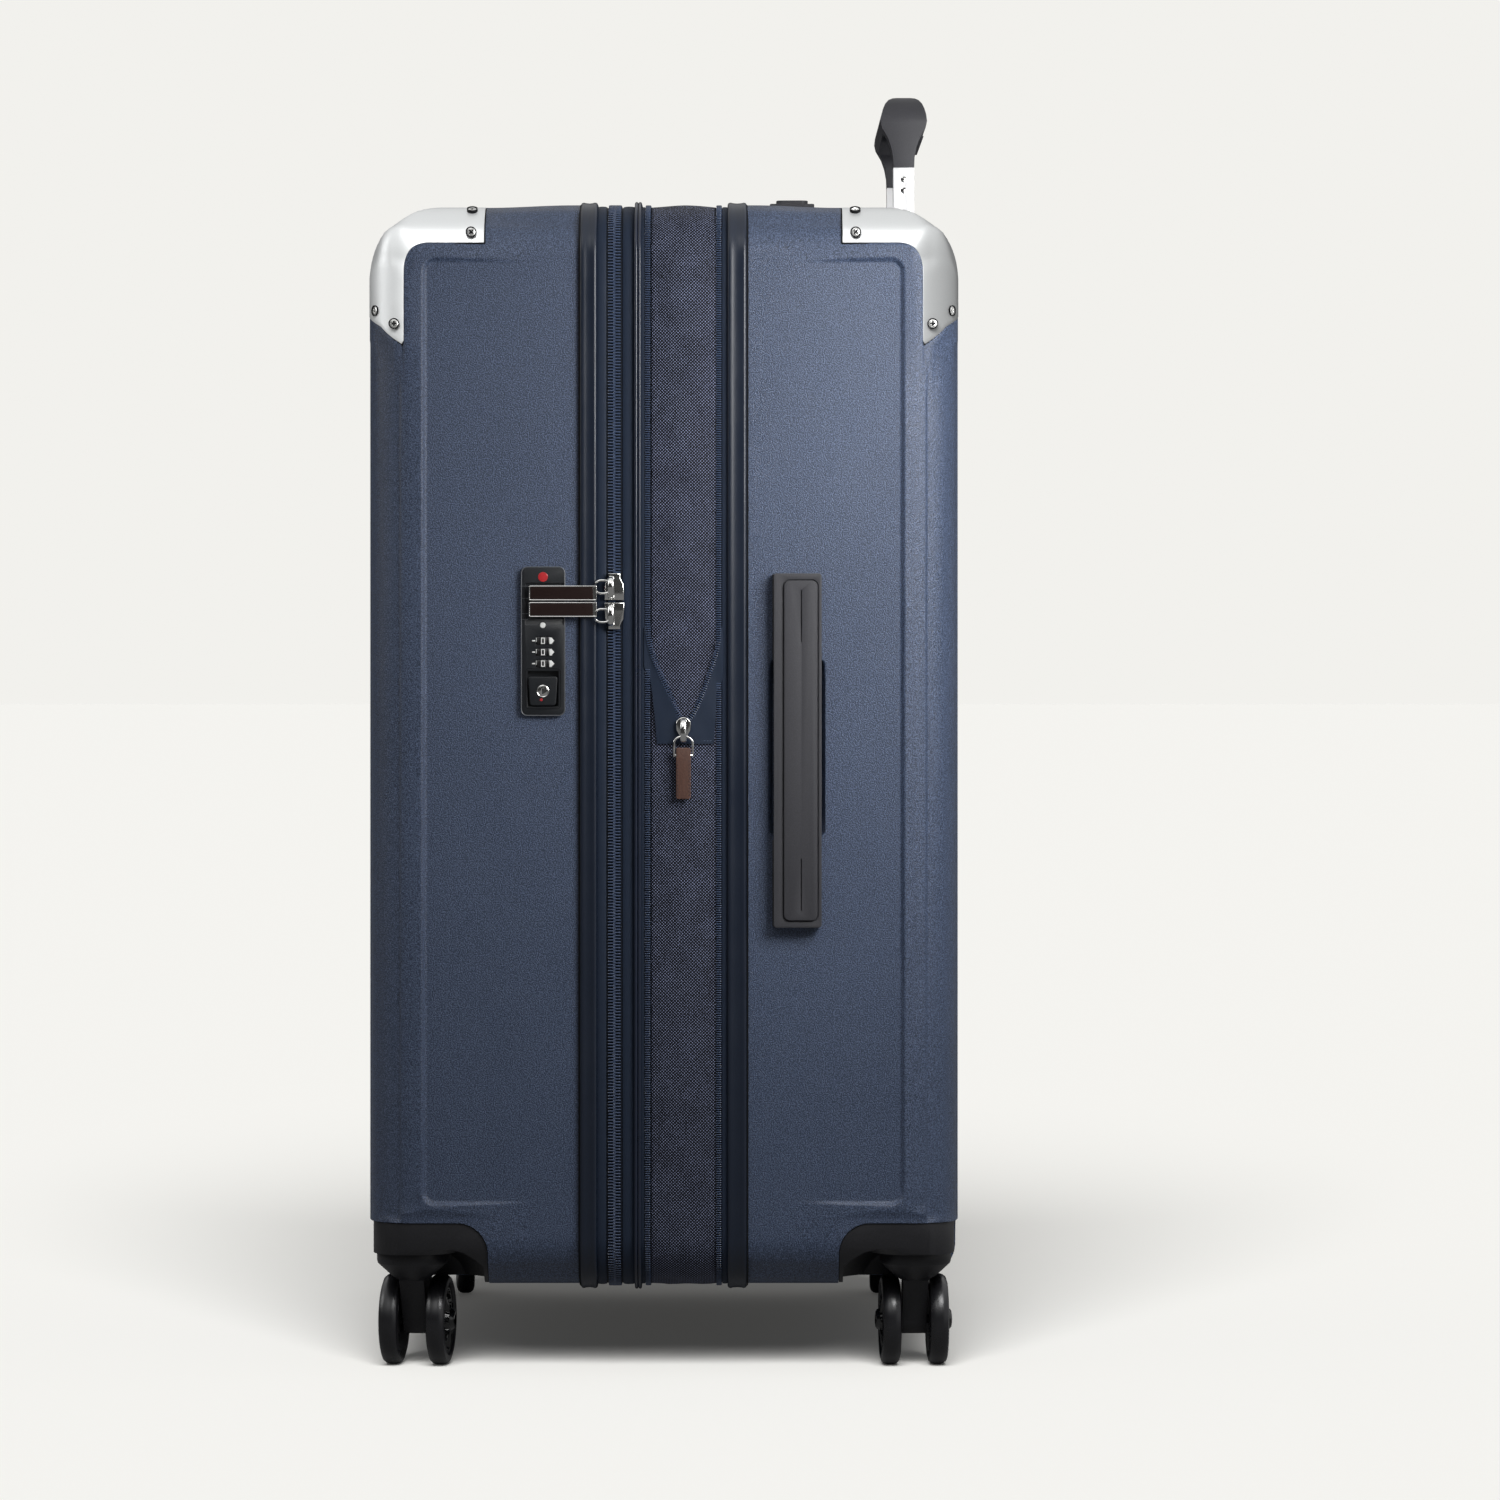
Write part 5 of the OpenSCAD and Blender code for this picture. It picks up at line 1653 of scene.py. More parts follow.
def rod(a: np.ndarray, b: np.ndarray, radius: float, sides: int = 12) -> Tuple[np.ndarray, List[List[int]]]:
    """A short rod with rounded ends.

    Args:
        a: One end.
        b: The other end.
        radius: Its radius.
        sides: Steps round it.

    Returns:
        Points and faces.
    """
    way = (b - a) / np.linalg.norm(b - a)
    side = np.cross(way, [0.0, 0.0, 1.0] if abs(way[2]) < 0.9 else [0.0, 1.0, 0.0])
    side /= np.linalg.norm(side)
    up = np.cross(side, way)
    angle = np.linspace(0, 2 * math.pi, sides, endpoint=False)
    rings = []
    for at, share in ((a - way * 0.0, 0.45), (a + way * radius * 0.5, 1.0), (b - way * radius * 0.5, 1.0), (b, 0.45)):
        rings.append(at + radius * share * (np.cos(angle)[:, None] * side + np.sin(angle)[:, None] * up))
    faces = quads(4, sides, wrap=True).tolist()
    faces += [list(range(sides)), list(range(4 * sides - 1, 3 * sides - 1, -1))]
    return np.concatenate(rings), faces


def sweep(path: np.ndarray, section: np.ndarray, up: np.ndarray,
          closed: bool = False) -> Tuple[np.ndarray, List[List[int]]]:
    """Runs a closed section along a path.

    Args:
        path: Points of the path.
        section: The section, as distances sideways and upwards.
        up: Direction that the section's upward side keeps to.
        closed: Whether the path is a loop.

    Returns:
        Points and faces.
    """
    if closed:
        ahead = np.roll(path, -1, 0) - np.roll(path, 1, 0)
    else:
        ahead = np.gradient(path, axis=0)
    ahead /= np.linalg.norm(ahead, axis=1, keepdims=True)
    side = np.cross(ahead, up)
    side /= np.linalg.norm(side, axis=1, keepdims=True)
    top = np.cross(side, ahead)
    points = path[:, None] + side[:, None] * section[None, :, :1] + top[:, None] * section[None, :, 1:2]
    m, n = len(section), len(path)
    faces = quads(n, m, wrap=True).tolist()
    if closed:
        k = np.arange(m)
        last = (n - 1) * m
        faces += np.stack([last + k, last + (k + 1) % m, (k + 1) % m, k], -1).tolist()
    else:
        faces += [list(range(m)), list(range(n * m - 1, (n - 1) * m - 1, -1))]
    return points.reshape(-1, 3), faces


def circle(radius: float, sides: int = 10) -> np.ndarray:
    """Section of a round rod.

    Args:
        radius: Its radius.
        sides: Steps round it.

    Returns:
        The section.
    """
    a = np.linspace(0, 2 * math.pi, sides, endpoint=False)
    return np.stack([np.cos(a), np.sin(a)], -1) * radius


def plate_outline(y0: float, y1: float, z0: float, z1: float, r: float, steps: int = 6) -> np.ndarray:
    """Outline of a rectangle with round corners.

    Args:
        y0: Lowest first coordinate.
        y1: Highest first coordinate.
        z0: Lowest second coordinate.
        z1: Highest second coordinate.
        r: Corner radius.
        steps: Steps in each corner.

    Returns:
        The outline.
    """
    out = []
    for cy, cz, start in ((y1 - r, z0 + r, -90), (y1 - r, z1 - r, 0), (y0 + r, z1 - r, 90), (y0 + r, z0 + r, 180)):
        for a in np.radians(start + np.linspace(0, 90, steps + 1)):
            out.append((cy + r * math.cos(a), cz + r * math.sin(a)))
    return np.array(out)


def slab(shape: np.ndarray, low: float, high: float, ease_by: float = 0.5, inset: float = 0.0,
         sink: float = 0.0) -> Tuple[np.ndarray, List[List[int]]]:
    """A flat plate on the lock side, with rounded upper edges and perhaps a sunk middle.

    Args:
        shape: Its outline, as Y and Z.
        low: Its foot, along X.
        high: Its face, along X.
        ease_by: Radius of its upper edges.
        inset: Width of its frame, where its middle is sunk.
        sink: Depth of its middle.

    Returns:
        Points and faces.
    """
    n = len(shape)
    ahead = np.roll(shape, -1, 0) - np.roll(shape, 1, 0)
    normal = np.stack([ahead[:, 1], -ahead[:, 0]], -1)
    normal /= np.maximum(np.linalg.norm(normal, axis=1, keepdims=True), 1e-9)
    levels = [(0.0, low)] + [(ease_by * (1 - math.cos(a)), high - ease_by * (1 - math.sin(a)))
                             for a in np.radians([0, 22, 45, 68, 90])]
    if sink:
        levels += [(inset - 0.25, high), (inset, high - 0.2), (inset + 0.15, high - sink)]
    rings = [np.column_stack([np.full(n, x), shape - normal * d]) for d, x in levels]
    faces = quads(len(rings), n, wrap=True).tolist()
    faces += [list(range(n - 1, -1, -1)), list(range((len(rings) - 1) * n, len(rings) * n))]
    return np.concatenate(rings), faces


def plate_grid(size: Tuple[float, float], step: float) -> Tuple[np.ndarray, np.ndarray, np.ndarray]:
    """A flat grid from 0 to size in both directions.

    Args:
        size: Its two sizes.
        step: Spacing of its lines.

    Returns:
        Its first coordinates, second coordinates and faces.
    """
    rows, columns = (max(2, int(round(s / step)) + 1) for s in size)
    u, v = np.meshgrid(np.linspace(0, size[0], rows), np.linspace(0, size[1], columns), indexing="ij")
    return u.ravel(), v.ravel(), quads(rows, columns)


@dataclass
class LockUnit:
    """The lock on the front half: body, dials, button, key cylinder and the zip pulls' bay."""

    face: float = 254.5
    mid: float = -78.8
    dials: Tuple[float, float, float] = (480.2, 472.7, 465.2)
    dial_x: float = 246.7
    dial_r: float = 8.6

    STROKES = {
        "0": [[(-1, -2), (1, -2), (1, 2), (-1, 2), (-1, -2)]], "1": [[(-0.8, 1.2), (0.2, 2), (0.2, -2)]],
        "2": [[(-1, 1.3), (-0.4, 2), (0.7, 2), (1, 1), (-1, -2), (1, -2)]],
        "3": [[(-1, 2), (1, 2), (0, 0.4), (1, -0.4), (0.7, -2), (-1, -2)]],
        "4": [[(0.6, -2), (0.6, 2), (-1, -0.8), (1.1, -0.8)]],
        "5": [[(1, 2), (-0.9, 2), (-0.9, 0.3), (0.6, 0.3), (1, -0.8), (0.5, -2), (-1, -2)]],
        "6": [[(0.8, 2), (-0.8, 0.4), (-1, -1.6), (0.8, -2), (1, -0.4), (-0.9, 0.1)]],
        "7": [[(-1, 2), (1, 2), (-0.3, -2)]],
        "8": [[(-0.8, 2), (0.8, 2), (0.9, 0.4), (-1, -0.6), (-0.9, -2), (0.9, -2), (1, -0.6), (-0.9, 0.4),
               (-0.8, 2)]],
        "9": [[(-0.8, -2), (0.9, -0.4), (0.9, 2), (-0.9, 1.9), (-1, 0.3), (0.9, 0.1)]],
    }

    def _digit(self, text: str, angle: float, z: float) -> List[Tuple[np.ndarray, List[List[int]]]]:
        """A numeral on a dial.

        Args:
            text: The numeral.
            angle: Where on the dial it is, in radians from the face.
            z: Height of the dial.

        Returns:
            Its strokes.
        """
        out = []
        for stroke in self.STROKES[text]:
            line = np.array(stroke, float) * np.array([0.95, 0.88])
            ahead = np.diff(line, axis=0)
            for a, d in zip(line[:-1], ahead):
                length = float(np.hypot(*d))
                way = d / length
                side = np.array([-way[1], way[0]]) * 0.3
                start, end = a - way * 0.3, a + d + way * 0.3
                ends = [start - side, end - side, end + side, start + side]
                pts = []
                for r in (self.dial_r + 0.01, self.dial_r + 0.1):
                    for u, v in ends:
                        turn = angle + u / self.dial_r
                        pts.append((self.dial_x + r * math.cos(turn), self.mid + r * math.sin(turn), z + v))
                out.append((np.array(pts), [[3, 2, 1, 0], [4, 5, 6, 7]] + [[i, (i + 1) % 4, 4 + (i + 1) % 4, 4 + i]
                                                                              for i in range(4)]))
        return out

    def _prints(self) -> None:
        """Builds the white marks, the red inlay and the small pin."""
        marks = []
        for z in self.dials:
            for shape in ([(-86.0, z - 0.4), (-83.9, z - 0.4), (-83.9, z + 0.4), (-86.0, z + 0.4)],
                          [(-74.6, z - 2.1), (-73.2, z - 2.1), (-71.4, z), (-73.2, z + 2.1), (-74.6, z + 2.1)]):
                marks.append(slab(np.array(shape, float), self.face - 0.05, self.face + 0.07, 0.02))
        points, faces = joined(marks)
        Maker.piece("lock_marks", points, faces, PRINT, "front_case")
        a = np.linspace(0, 2 * math.pi, 32, endpoint=False)
        disc = np.stack([self.mid + 3.2 * np.cos(a), 522.0 + 3.2 * np.sin(a)], -1)
        points, faces = slab(disc, self.face - 0.1, self.face + 0.45, 0.3)
        Maker.piece("lock_inlay", points, faces, RED, "front_case")
        pin = np.stack([-79.0 + 1.9 * np.cos(a), 490.3 + 1.9 * np.sin(a)], -1)
        points, faces = slab(pin, self.face - 2.0, self.face + 0.5, 0.6)
        Maker.piece("lock_pin", points, faces, PRINT, "front_case")
        dot = np.stack([-79.9 + 0.95 * np.cos(a), 441.5 + 0.95 * np.sin(a)], -1)
        points, faces = slab(dot, self.face + 1.4, self.face + 1.72, 0.15)
        Maker.piece("button_dot", points, faces, RED, "lock_button")

    def _frames(self) -> None:
        """Builds the fine raised lines round the lock and its windows, the ribs in the bay, and a near-black ring of
        painted shade round the button.
        """
        loops = []
        rim = plate_outline(-93.0, -64.6, 431.2, 528.4, 3.9, 8)
        path = np.column_stack([np.full(len(rim), self.face - 0.1), rim])
        loops.append(sweep(path, circle(0.42, 8), np.array([1.0, 0, 0]), closed=True))
        for z in (515.9, 507.9, 497.9, 494.1):
            loops.append(rod(np.array([self.face - 0.1, -92.6, z]), np.array([self.face - 0.1, -88.6, z]), 0.2, 6))
        points, faces = joined(loops)
        Maker.piece("lock_edging", points, faces, EDGING, "front_case")
        # Near-black ring round the button's well: painted shade in the gap round the button.
        button_shade = []
        low = plate_outline(self.mid - 11.6, self.mid + 11.6, 435.6, 461.8, 2.4, 6)
        button_shade.append(sweep(np.column_stack([np.full(len(low), self.face - 0.05), low]), circle(0.22, 6),
                           np.array([1.0, 0, 0]), closed=True))
        points, faces = joined(button_shade)
        Maker.piece("lock_wells", points, faces, SHADE_BLACK, "front_case")

    def _button(self) -> None:
        """Builds the button, narrower below than above, with a chrome ring round its keyhole."""
        top, low, z0, z1 = 9.7, 8.5, 437.7, 456.7
        base = plate_outline(-1, 1, -1, 1, 0.2, 6)
        shape = np.stack([self.mid + base[:, 0] * (low + (top - low) * (base[:, 1] + 1) / 2),
                          (z0 + z1) / 2 + base[:, 1] * (z1 - z0) / 2], -1)
        points, faces = slab(shape, self.face - 3.8, self.face + 1.6, 0.7)
        Maker.piece("lock_button_cap", points, faces, LOCK, "lock_button", ("lock_button",))
        a = np.linspace(0, 2 * math.pi, 40, endpoint=False)
        ring = np.column_stack([np.full(40, self.face + 1.65), self.mid + 3.75 * np.cos(a), 447.2 + 3.75 * np.sin(a)])
        points, faces = sweep(ring, circle(0.35, 8), np.array([1.0, 0, 0]), closed=True)
        Maker.piece("keyhole_ring", points, faces, CHROME, "lock_button")

    def build(self) -> None:
        """Builds the lock."""
        Maker.refined("lock_body", LOCK, 0.35)
        for i, z in enumerate(self.dials):
            Maker.refined(f"lock_dial_{i + 1}", DIAL, 0.25)
            strokes = []
            for d in range(10):
                strokes += self._digit(str(d), d * 2 * math.pi / 10, z)
            points, faces = joined(strokes)
            Maker.piece(f"dial_{i + 1}_numerals", points, faces, PRINT, f"lock_dial_{i + 1}")
        Maker.refined("key_cylinder", CHROME, 0.25)
        self._button()
        self._prints()
        self._frames()


@dataclass
class Pulls:
    """Sliders of the main zip with their framed pulls, and the expansion slider with its leather tab."""

    def _pull(self, word: str, z: float, at: float) -> None:
        """Builds a pull: a framed bar with a dark inlay, and the ring that turns in the slider.

        Args:
            word: Which pull.
            z: The bar's height.
            at: The slider's height.
        """
        frame_shape = plate_outline(-88.0, -43.4, z - 4.9, z + 4.9, 1.0, 5)
        bar = slab(frame_shape, 257.0, 259.2, 0.35, inset=0.75, sink=0.7)
        wide = 4.3
        loop = [(-44.2, at + wide * 0.62), (-42.0, at + wide), (-38.0, at + wide), (-35.2, at + wide * 0.8),
                (-34.2, at + wide * 0.4), (-34.2, at - wide * 0.4), (-35.2, at - wide * 0.8), (-38.0, at - wide),
                (-42.0, at - wide), (-44.2, at - wide * 0.62)]
        path = np.array([(258.1, y, h) for y, h in loop])
        ring = sweep(resampled(path, 34), circle(0.85, 12), np.array([1.0, 0, 0]))
        points, faces = joined([bar, ring])
        Maker.piece(f"pull_{word}_frame", points, faces, CHROME, f"pull_{word}", (f"pull_{word}",), sharp=45)
        shape = plate_outline(-87.1, -45.9, z - 4.05, z + 4.05, 0.7)
        points, faces = slab(shape, 258.2, 258.85, 0.25)
        Maker.piece(f"pull_inlay_{word}", points, faces, INLAY, f"pull_{word}")

    def _expansion_slider(self) -> None:
        """Builds the expansion slider: a round-shouldered body with a domed ridge and a neck."""
        y, a = 13.25, np.linspace(0, math.pi, 13)
        shape = [(y + 4.9 * math.cos(t), 425.6 + 4.6 * math.sin(t)) for t in a]
        shape += [(y - 4.6, 421.5), (y - 2.4, 417.6), (y - 2.2, 414.2), (y + 2.2, 414.2), (y + 2.4, 417.6),
                  (y + 4.6, 421.5)]
        body = slab(np.array(shape), 256.1, 257.9, 0.6)
        path = np.array([(257.5, y, 428.4), (259.3, y, 427.0), (260.4, y, 423.5), (260.7, y, 419.6),
                         (260.5, y, 416.6),
                         (259.6, y, 414.6), (257.5, y, 413.9)])
        ridge = sweep(resampled(path, 22), circle(1.0, 14) * np.array([1.9, 0.75]), np.array([1.0, 0.0, 0.2]))
        points, faces = joined([body, ridge])
        Maker.piece("expansion_slider_body", points, faces, CHROME, "expansion_slider", ("expansion_slider",),
                    sharp=50)

    def _tab(self) -> None:
        """Builds the expansion slider's ring and tab."""
        y, x = 13.25, 258.7
        shape = plate_outline(y - 4.8, y + 4.8, 376.5, 410.2, 1.4)
        points, faces = slab(shape, x - 1.0, x + 1.0, 0.5)
        Maker.piece("expansion_tab", points, faces, LEATHER, "expansion_pull", ("expansion_pull",))
        stitches = [rod(np.array([x + 1.0, y + side * 3.7, z]), np.array([x + 1.0, y + side * 3.7, z + 1.3]), 0.17, 6)
                    for side in (-1, 1) for z in np.arange(378.5, 402, 2.2)]
        points, faces = joined(stitches)
        Maker.piece("expansion_tab_stitches", points, faces, BINDING, "expansion_pull")
        arch = [(y - 6.1, z) for z in (404.3, 408, 411, 413.4)]
        arch += [(y - 6.1 * math.cos(a), 413.4 + 4.3 * math.sin(a)) for a in np.radians([15, 30, 45, 60, 75, 90])]
        arch = arch + [(2 * y - a, b) for a, b in arch[-2::-1]]
        path = np.array([(x, a, b) for a, b in arch])
        ring = sweep(path, circle(0.8, 12), np.array([1.0, 0, 0]))
        bar = rod(np.array([x, y - 6.7, 405.2]), np.array([x, y + 6.7, 405.2]), 0.8, 14)
        points, faces = joined([ring, bar])
        Maker.piece("expansion_ring", points, faces, CHROME, "expansion_pull", sharp=60)

    def _slider(self, word: str, z: float) -> None:
        """Builds a slider of the main zip: a waisted body with a bridge.

        Args:
            word: Which slider.
            z: Its height.
        """
        s, mid, x = (1 if word == "upper" else -1), -32.0, 254.7
        outline_half = [(6.4, -8.6), (6.4, -3.0), (6.0, 2.4), (4.6, 4.6), (3.9, 6.6), (3.9, 9.0)]
        right = [(mid + a, z + s * b) for a, b in outline_half]
        left = [(mid - a, z + s * b) for a, b in reversed(outline_half)]
        shape = np.array(right + left)
        if s < 0:
            shape = shape[::-1]
        body = slab(shape, x, x + 2.1, 0.7)
        path = np.array([(x + 1.5, -34.2, z + s * 6.6), (x + 4.4, -34.2, z + s * 5.4), (x + 5.7, -34.2, z + s * 2.6),
                         (x + 5.8, -34.2, z - s * 1.0), (x + 5.3, -34.2, z - s * 4.4), (x + 4.2, -34.2, z - s * 6.6),
                         (x + 1.5, -34.2, z - s * 7.6)])
        bridge = sweep(resampled(path, 20), circle(1.0, 12) * np.array([1.9, 0.8]), np.array([1.0, 0.0, 0.2]))
        points, faces = joined([body, bridge])
        Maker.piece(f"slider_{word}_body", points, faces, CHROME, f"slider_{word}", (f"slider_{word}",), sharp=50)

    def build(self) -> None:
        """Builds the sliders and pulls."""
        for word, z, at in (("upper", 511.4, 515.4), ("lower", 500.6, 496.6)):
            self._pull(word, z, at)
            self._slider(word, at)
        self._expansion_slider()
        self._tab()


def resampled(path: np.ndarray, count: int) -> np.ndarray:
    """Points evenly spaced on a smooth curve through a path.

    Args:
        path: Points of the path.
        count: How many points.

    Returns:
        The points.
    """
    steps = np.linalg.norm(np.diff(path, axis=0), axis=1)
    along = np.concatenate([[0], np.cumsum(steps)])
    t = np.linspace(0, along[-1], count)
    out = np.stack([np.interp(t, along, path[:, i]) for i in range(3)], -1)
    for _ in range(2):
        out[1:-1] = (out[:-2] + 2 * out[1:-1] + out[2:]) / 4
    return out


@dataclass
class Handles:
    """Carry handles on the side and top, and the pull handle at the back."""

    def build(self) -> None:
        """Builds the handles."""
        Maker.refined("side_handle_base", PLASTIC, 0.5)
        Maker.refined("side_handle_grip", RUBBER, 0.6, segments=3)
        Maker.refined("top_handle_base", PLASTIC, 0.5)
        Maker.refined("top_handle_grip", RUBBER, 0.6, segments=3)
        Maker.refined("handle_grip", RUBBER, 0.7, segments=3)
        Maker.refined("handle_button", RUBBER, 0.5)
        Maker.refined("inner_tubes", TUBE, 0.4)
        Maker.refined("grip_screws", CHROME, 0.15)
        Maker.refined("release_rods", STEEL, 0.3)
        Maker.refined("handle_tray", PLASTIC, 0.5)
        Maker.refined("outer_tubes", GUIDE, 0.5)
        Maker.refined("tube_foot", PLASTIC, 0.8)
        self._ribs()

    def _ribs(self) -> None:
        """Builds the fine ribs under the pull handle's grip."""
        ribs = [rod(np.array([x, 146.9, 823.2]), np.array([x, 175.1, 823.2]), 0.55, 8)
                for x in np.arange(-84, 85, 6.0)]
        points, faces = joined(ribs)
        Maker.piece("grip_underside_ribs", points, faces, RUBBER, "pull_handle")


@dataclass
class Lining:
    """Cloth lining of one half, fitted inside the shell and over what stands into it."""

    end: Side
    depth: float = 7.5
    mouth: float = 49.2

    def _humps(self) -> List[Tuple[Tuple[float, float, float], Tuple[float, float, float]]]:
        """Boxes that the lining goes round, on the negative side.

        Returns:
            The lowest and highest corner of each.
        """
        humps = [((165.2, -300, 0), (300, -111.2, 101.9)), ((-300, -300, 0), (-165.2, -111.2, 101.9))]
        if self.end is Side.BACK:
            humps += [((-128.5, -300, 0), (128.5, -136.5, 900)), ((228.6, -109.4, 288.1), (300, -65.6, 528.9)),
                      ((-119.4, -106.4, 745.6), (119.4, -65.6, 900))]
        else:
            humps += [((231.0, -95.2, 429.0), (300, -62.4, 530.6))]
        return humps

    def _grid(self) -> BoxGrid:
        """Chooses grid lines that are close together where the lining turns.

        Returns:
            The grid.
        """
        near = [(q - 1, q + 1, 1) for q in (-165.2, 165.2)]
        x = stops((-254, -214, 4), (-214, 214, 12), (214, 254, 4), *near)
        z = stops((54, 92, 4), (92, 710, 12), (710, 768, 4), (100.9, 102.9, 1))
        y = stops((self.mouth, 150, 8), (150, 194, 4), (110.2, 112.2, 1))
        if self.end is Side.BACK:
            x = np.union1d(x, stops(*[(q - 1, q + 1, 1) for q in (-128.5, 128.5, -119.4, 119.4)]))
            z = np.union1d(z, stops(*[(q - 1, q + 1, 1) for q in (288.1, 528.9)]))
            y = np.union1d(y, stops(*[(q - 0.8, q + 0.8, 0.8) for q in (65.6, 106.4, 109.4)]))
        else:
            z = np.union1d(z, stops(*[(q - 1, q + 1, 1) for q in (429.0, 530.6)]))
            y = np.union1d(y, stops(*[(q - 1, q + 1, 1) for q in (62.4, 95.2)]))
        return BoxGrid(x, -np.asarray(y)[::-1], z)

    def _fit(self, box: np.ndarray) -> Tuple[np.ndarray, np.ndarray, np.ndarray]:
        """Brings points of the sharp box in to the lining.

        Args:
            box: Points of the sharp box.

        Returns:
            The lining's points, the inward directions, and which hump each lies on, from 0, or -1.
        """
        core = 60.0
        start = np.clip(box, [-FORM.half_w + core, -FORM.half_d + core, FORM.low + core],
                        [FORM.half_w - core, FORM.half_d - core, FORM.high - core])
        near, far = np.zeros(len(box)), np.ones(len(box))
        for _ in range(24):
            t = (near + far) / 2
            out = FORM.outside(start + (box - start) * t[:, None]) > -self.depth
            far, near = np.where(out, t, far), np.where(out, near, t)
        share, which = near.copy(), np.full(len(box), -1)
        way = box - start
        for i, (low, high) in enumerate(self._humps()):
            with np.errstate(divide="ignore", invalid="ignore"):
                a, b = (np.array(low) - start) / way, (np.array(high) - start) / way
            inside = (start >= low) & (start <= high)
            still = np.abs(way) < 1e-9
            enter = np.where(still, np.where(inside, -np.inf, np.inf), np.minimum(a, b)).max(1)
            leave = np.where(still, np.where(inside, np.inf, -np.inf), np.maximum(a, b)).min(1)
            hit = (enter < leave) & (enter < share) & (enter > 0)
            share, which = np.where(hit, enter, share), np.where(hit, i, which)
        length = np.maximum(np.linalg.norm(way, axis=1, keepdims=True), 1e-9)
        return start + way * share[:, None], -way / length, which

    def build(self) -> None:
        """Builds the lining, and the cover over the pull handle's tubes where there is one."""
        box, faces = self._grid().mesh()
        points, inward, which = self._fit(box)
        x, y, z = points.T
        wave = 0.35 * (1 + np.sin(z / 29 + x / 47) * np.sin(y / 19 + x / 37))
        loose = np.clip((-points[:, 1] - 60) / 30, 0, 1)
        points = points + inward * (wave * loose)[:, None]
        uv = np.stack([points[:, 0] * 0.8 + points[:, 1] * 0.75, points[:, 2] + points[:, 1] * 0.6], -1) * MM
        cover = np.zeros(len(faces), bool)
        if self.end is Side.BACK:
            cover = (which[faces] == 2).all(1)
            points[:, 1] *= -1
        name = self.end.word + "_lining"
        groups = [(name + "_cloth", faces[~cover], (name,))]
        if cover.any():
            groups.append(("tube_cover_cloth", faces[cover], ("tube_cover",)))
        for label, rows, stands in groups:
            used, rows_new = np.unique(rows, return_inverse=True)
            made = Maker.piece(label, points[used], rows_new.reshape(rows.shape), LINING, self.end.body, stands,
                               uv=uv[used], thick=0.8, offset=0.0, sharp=50)


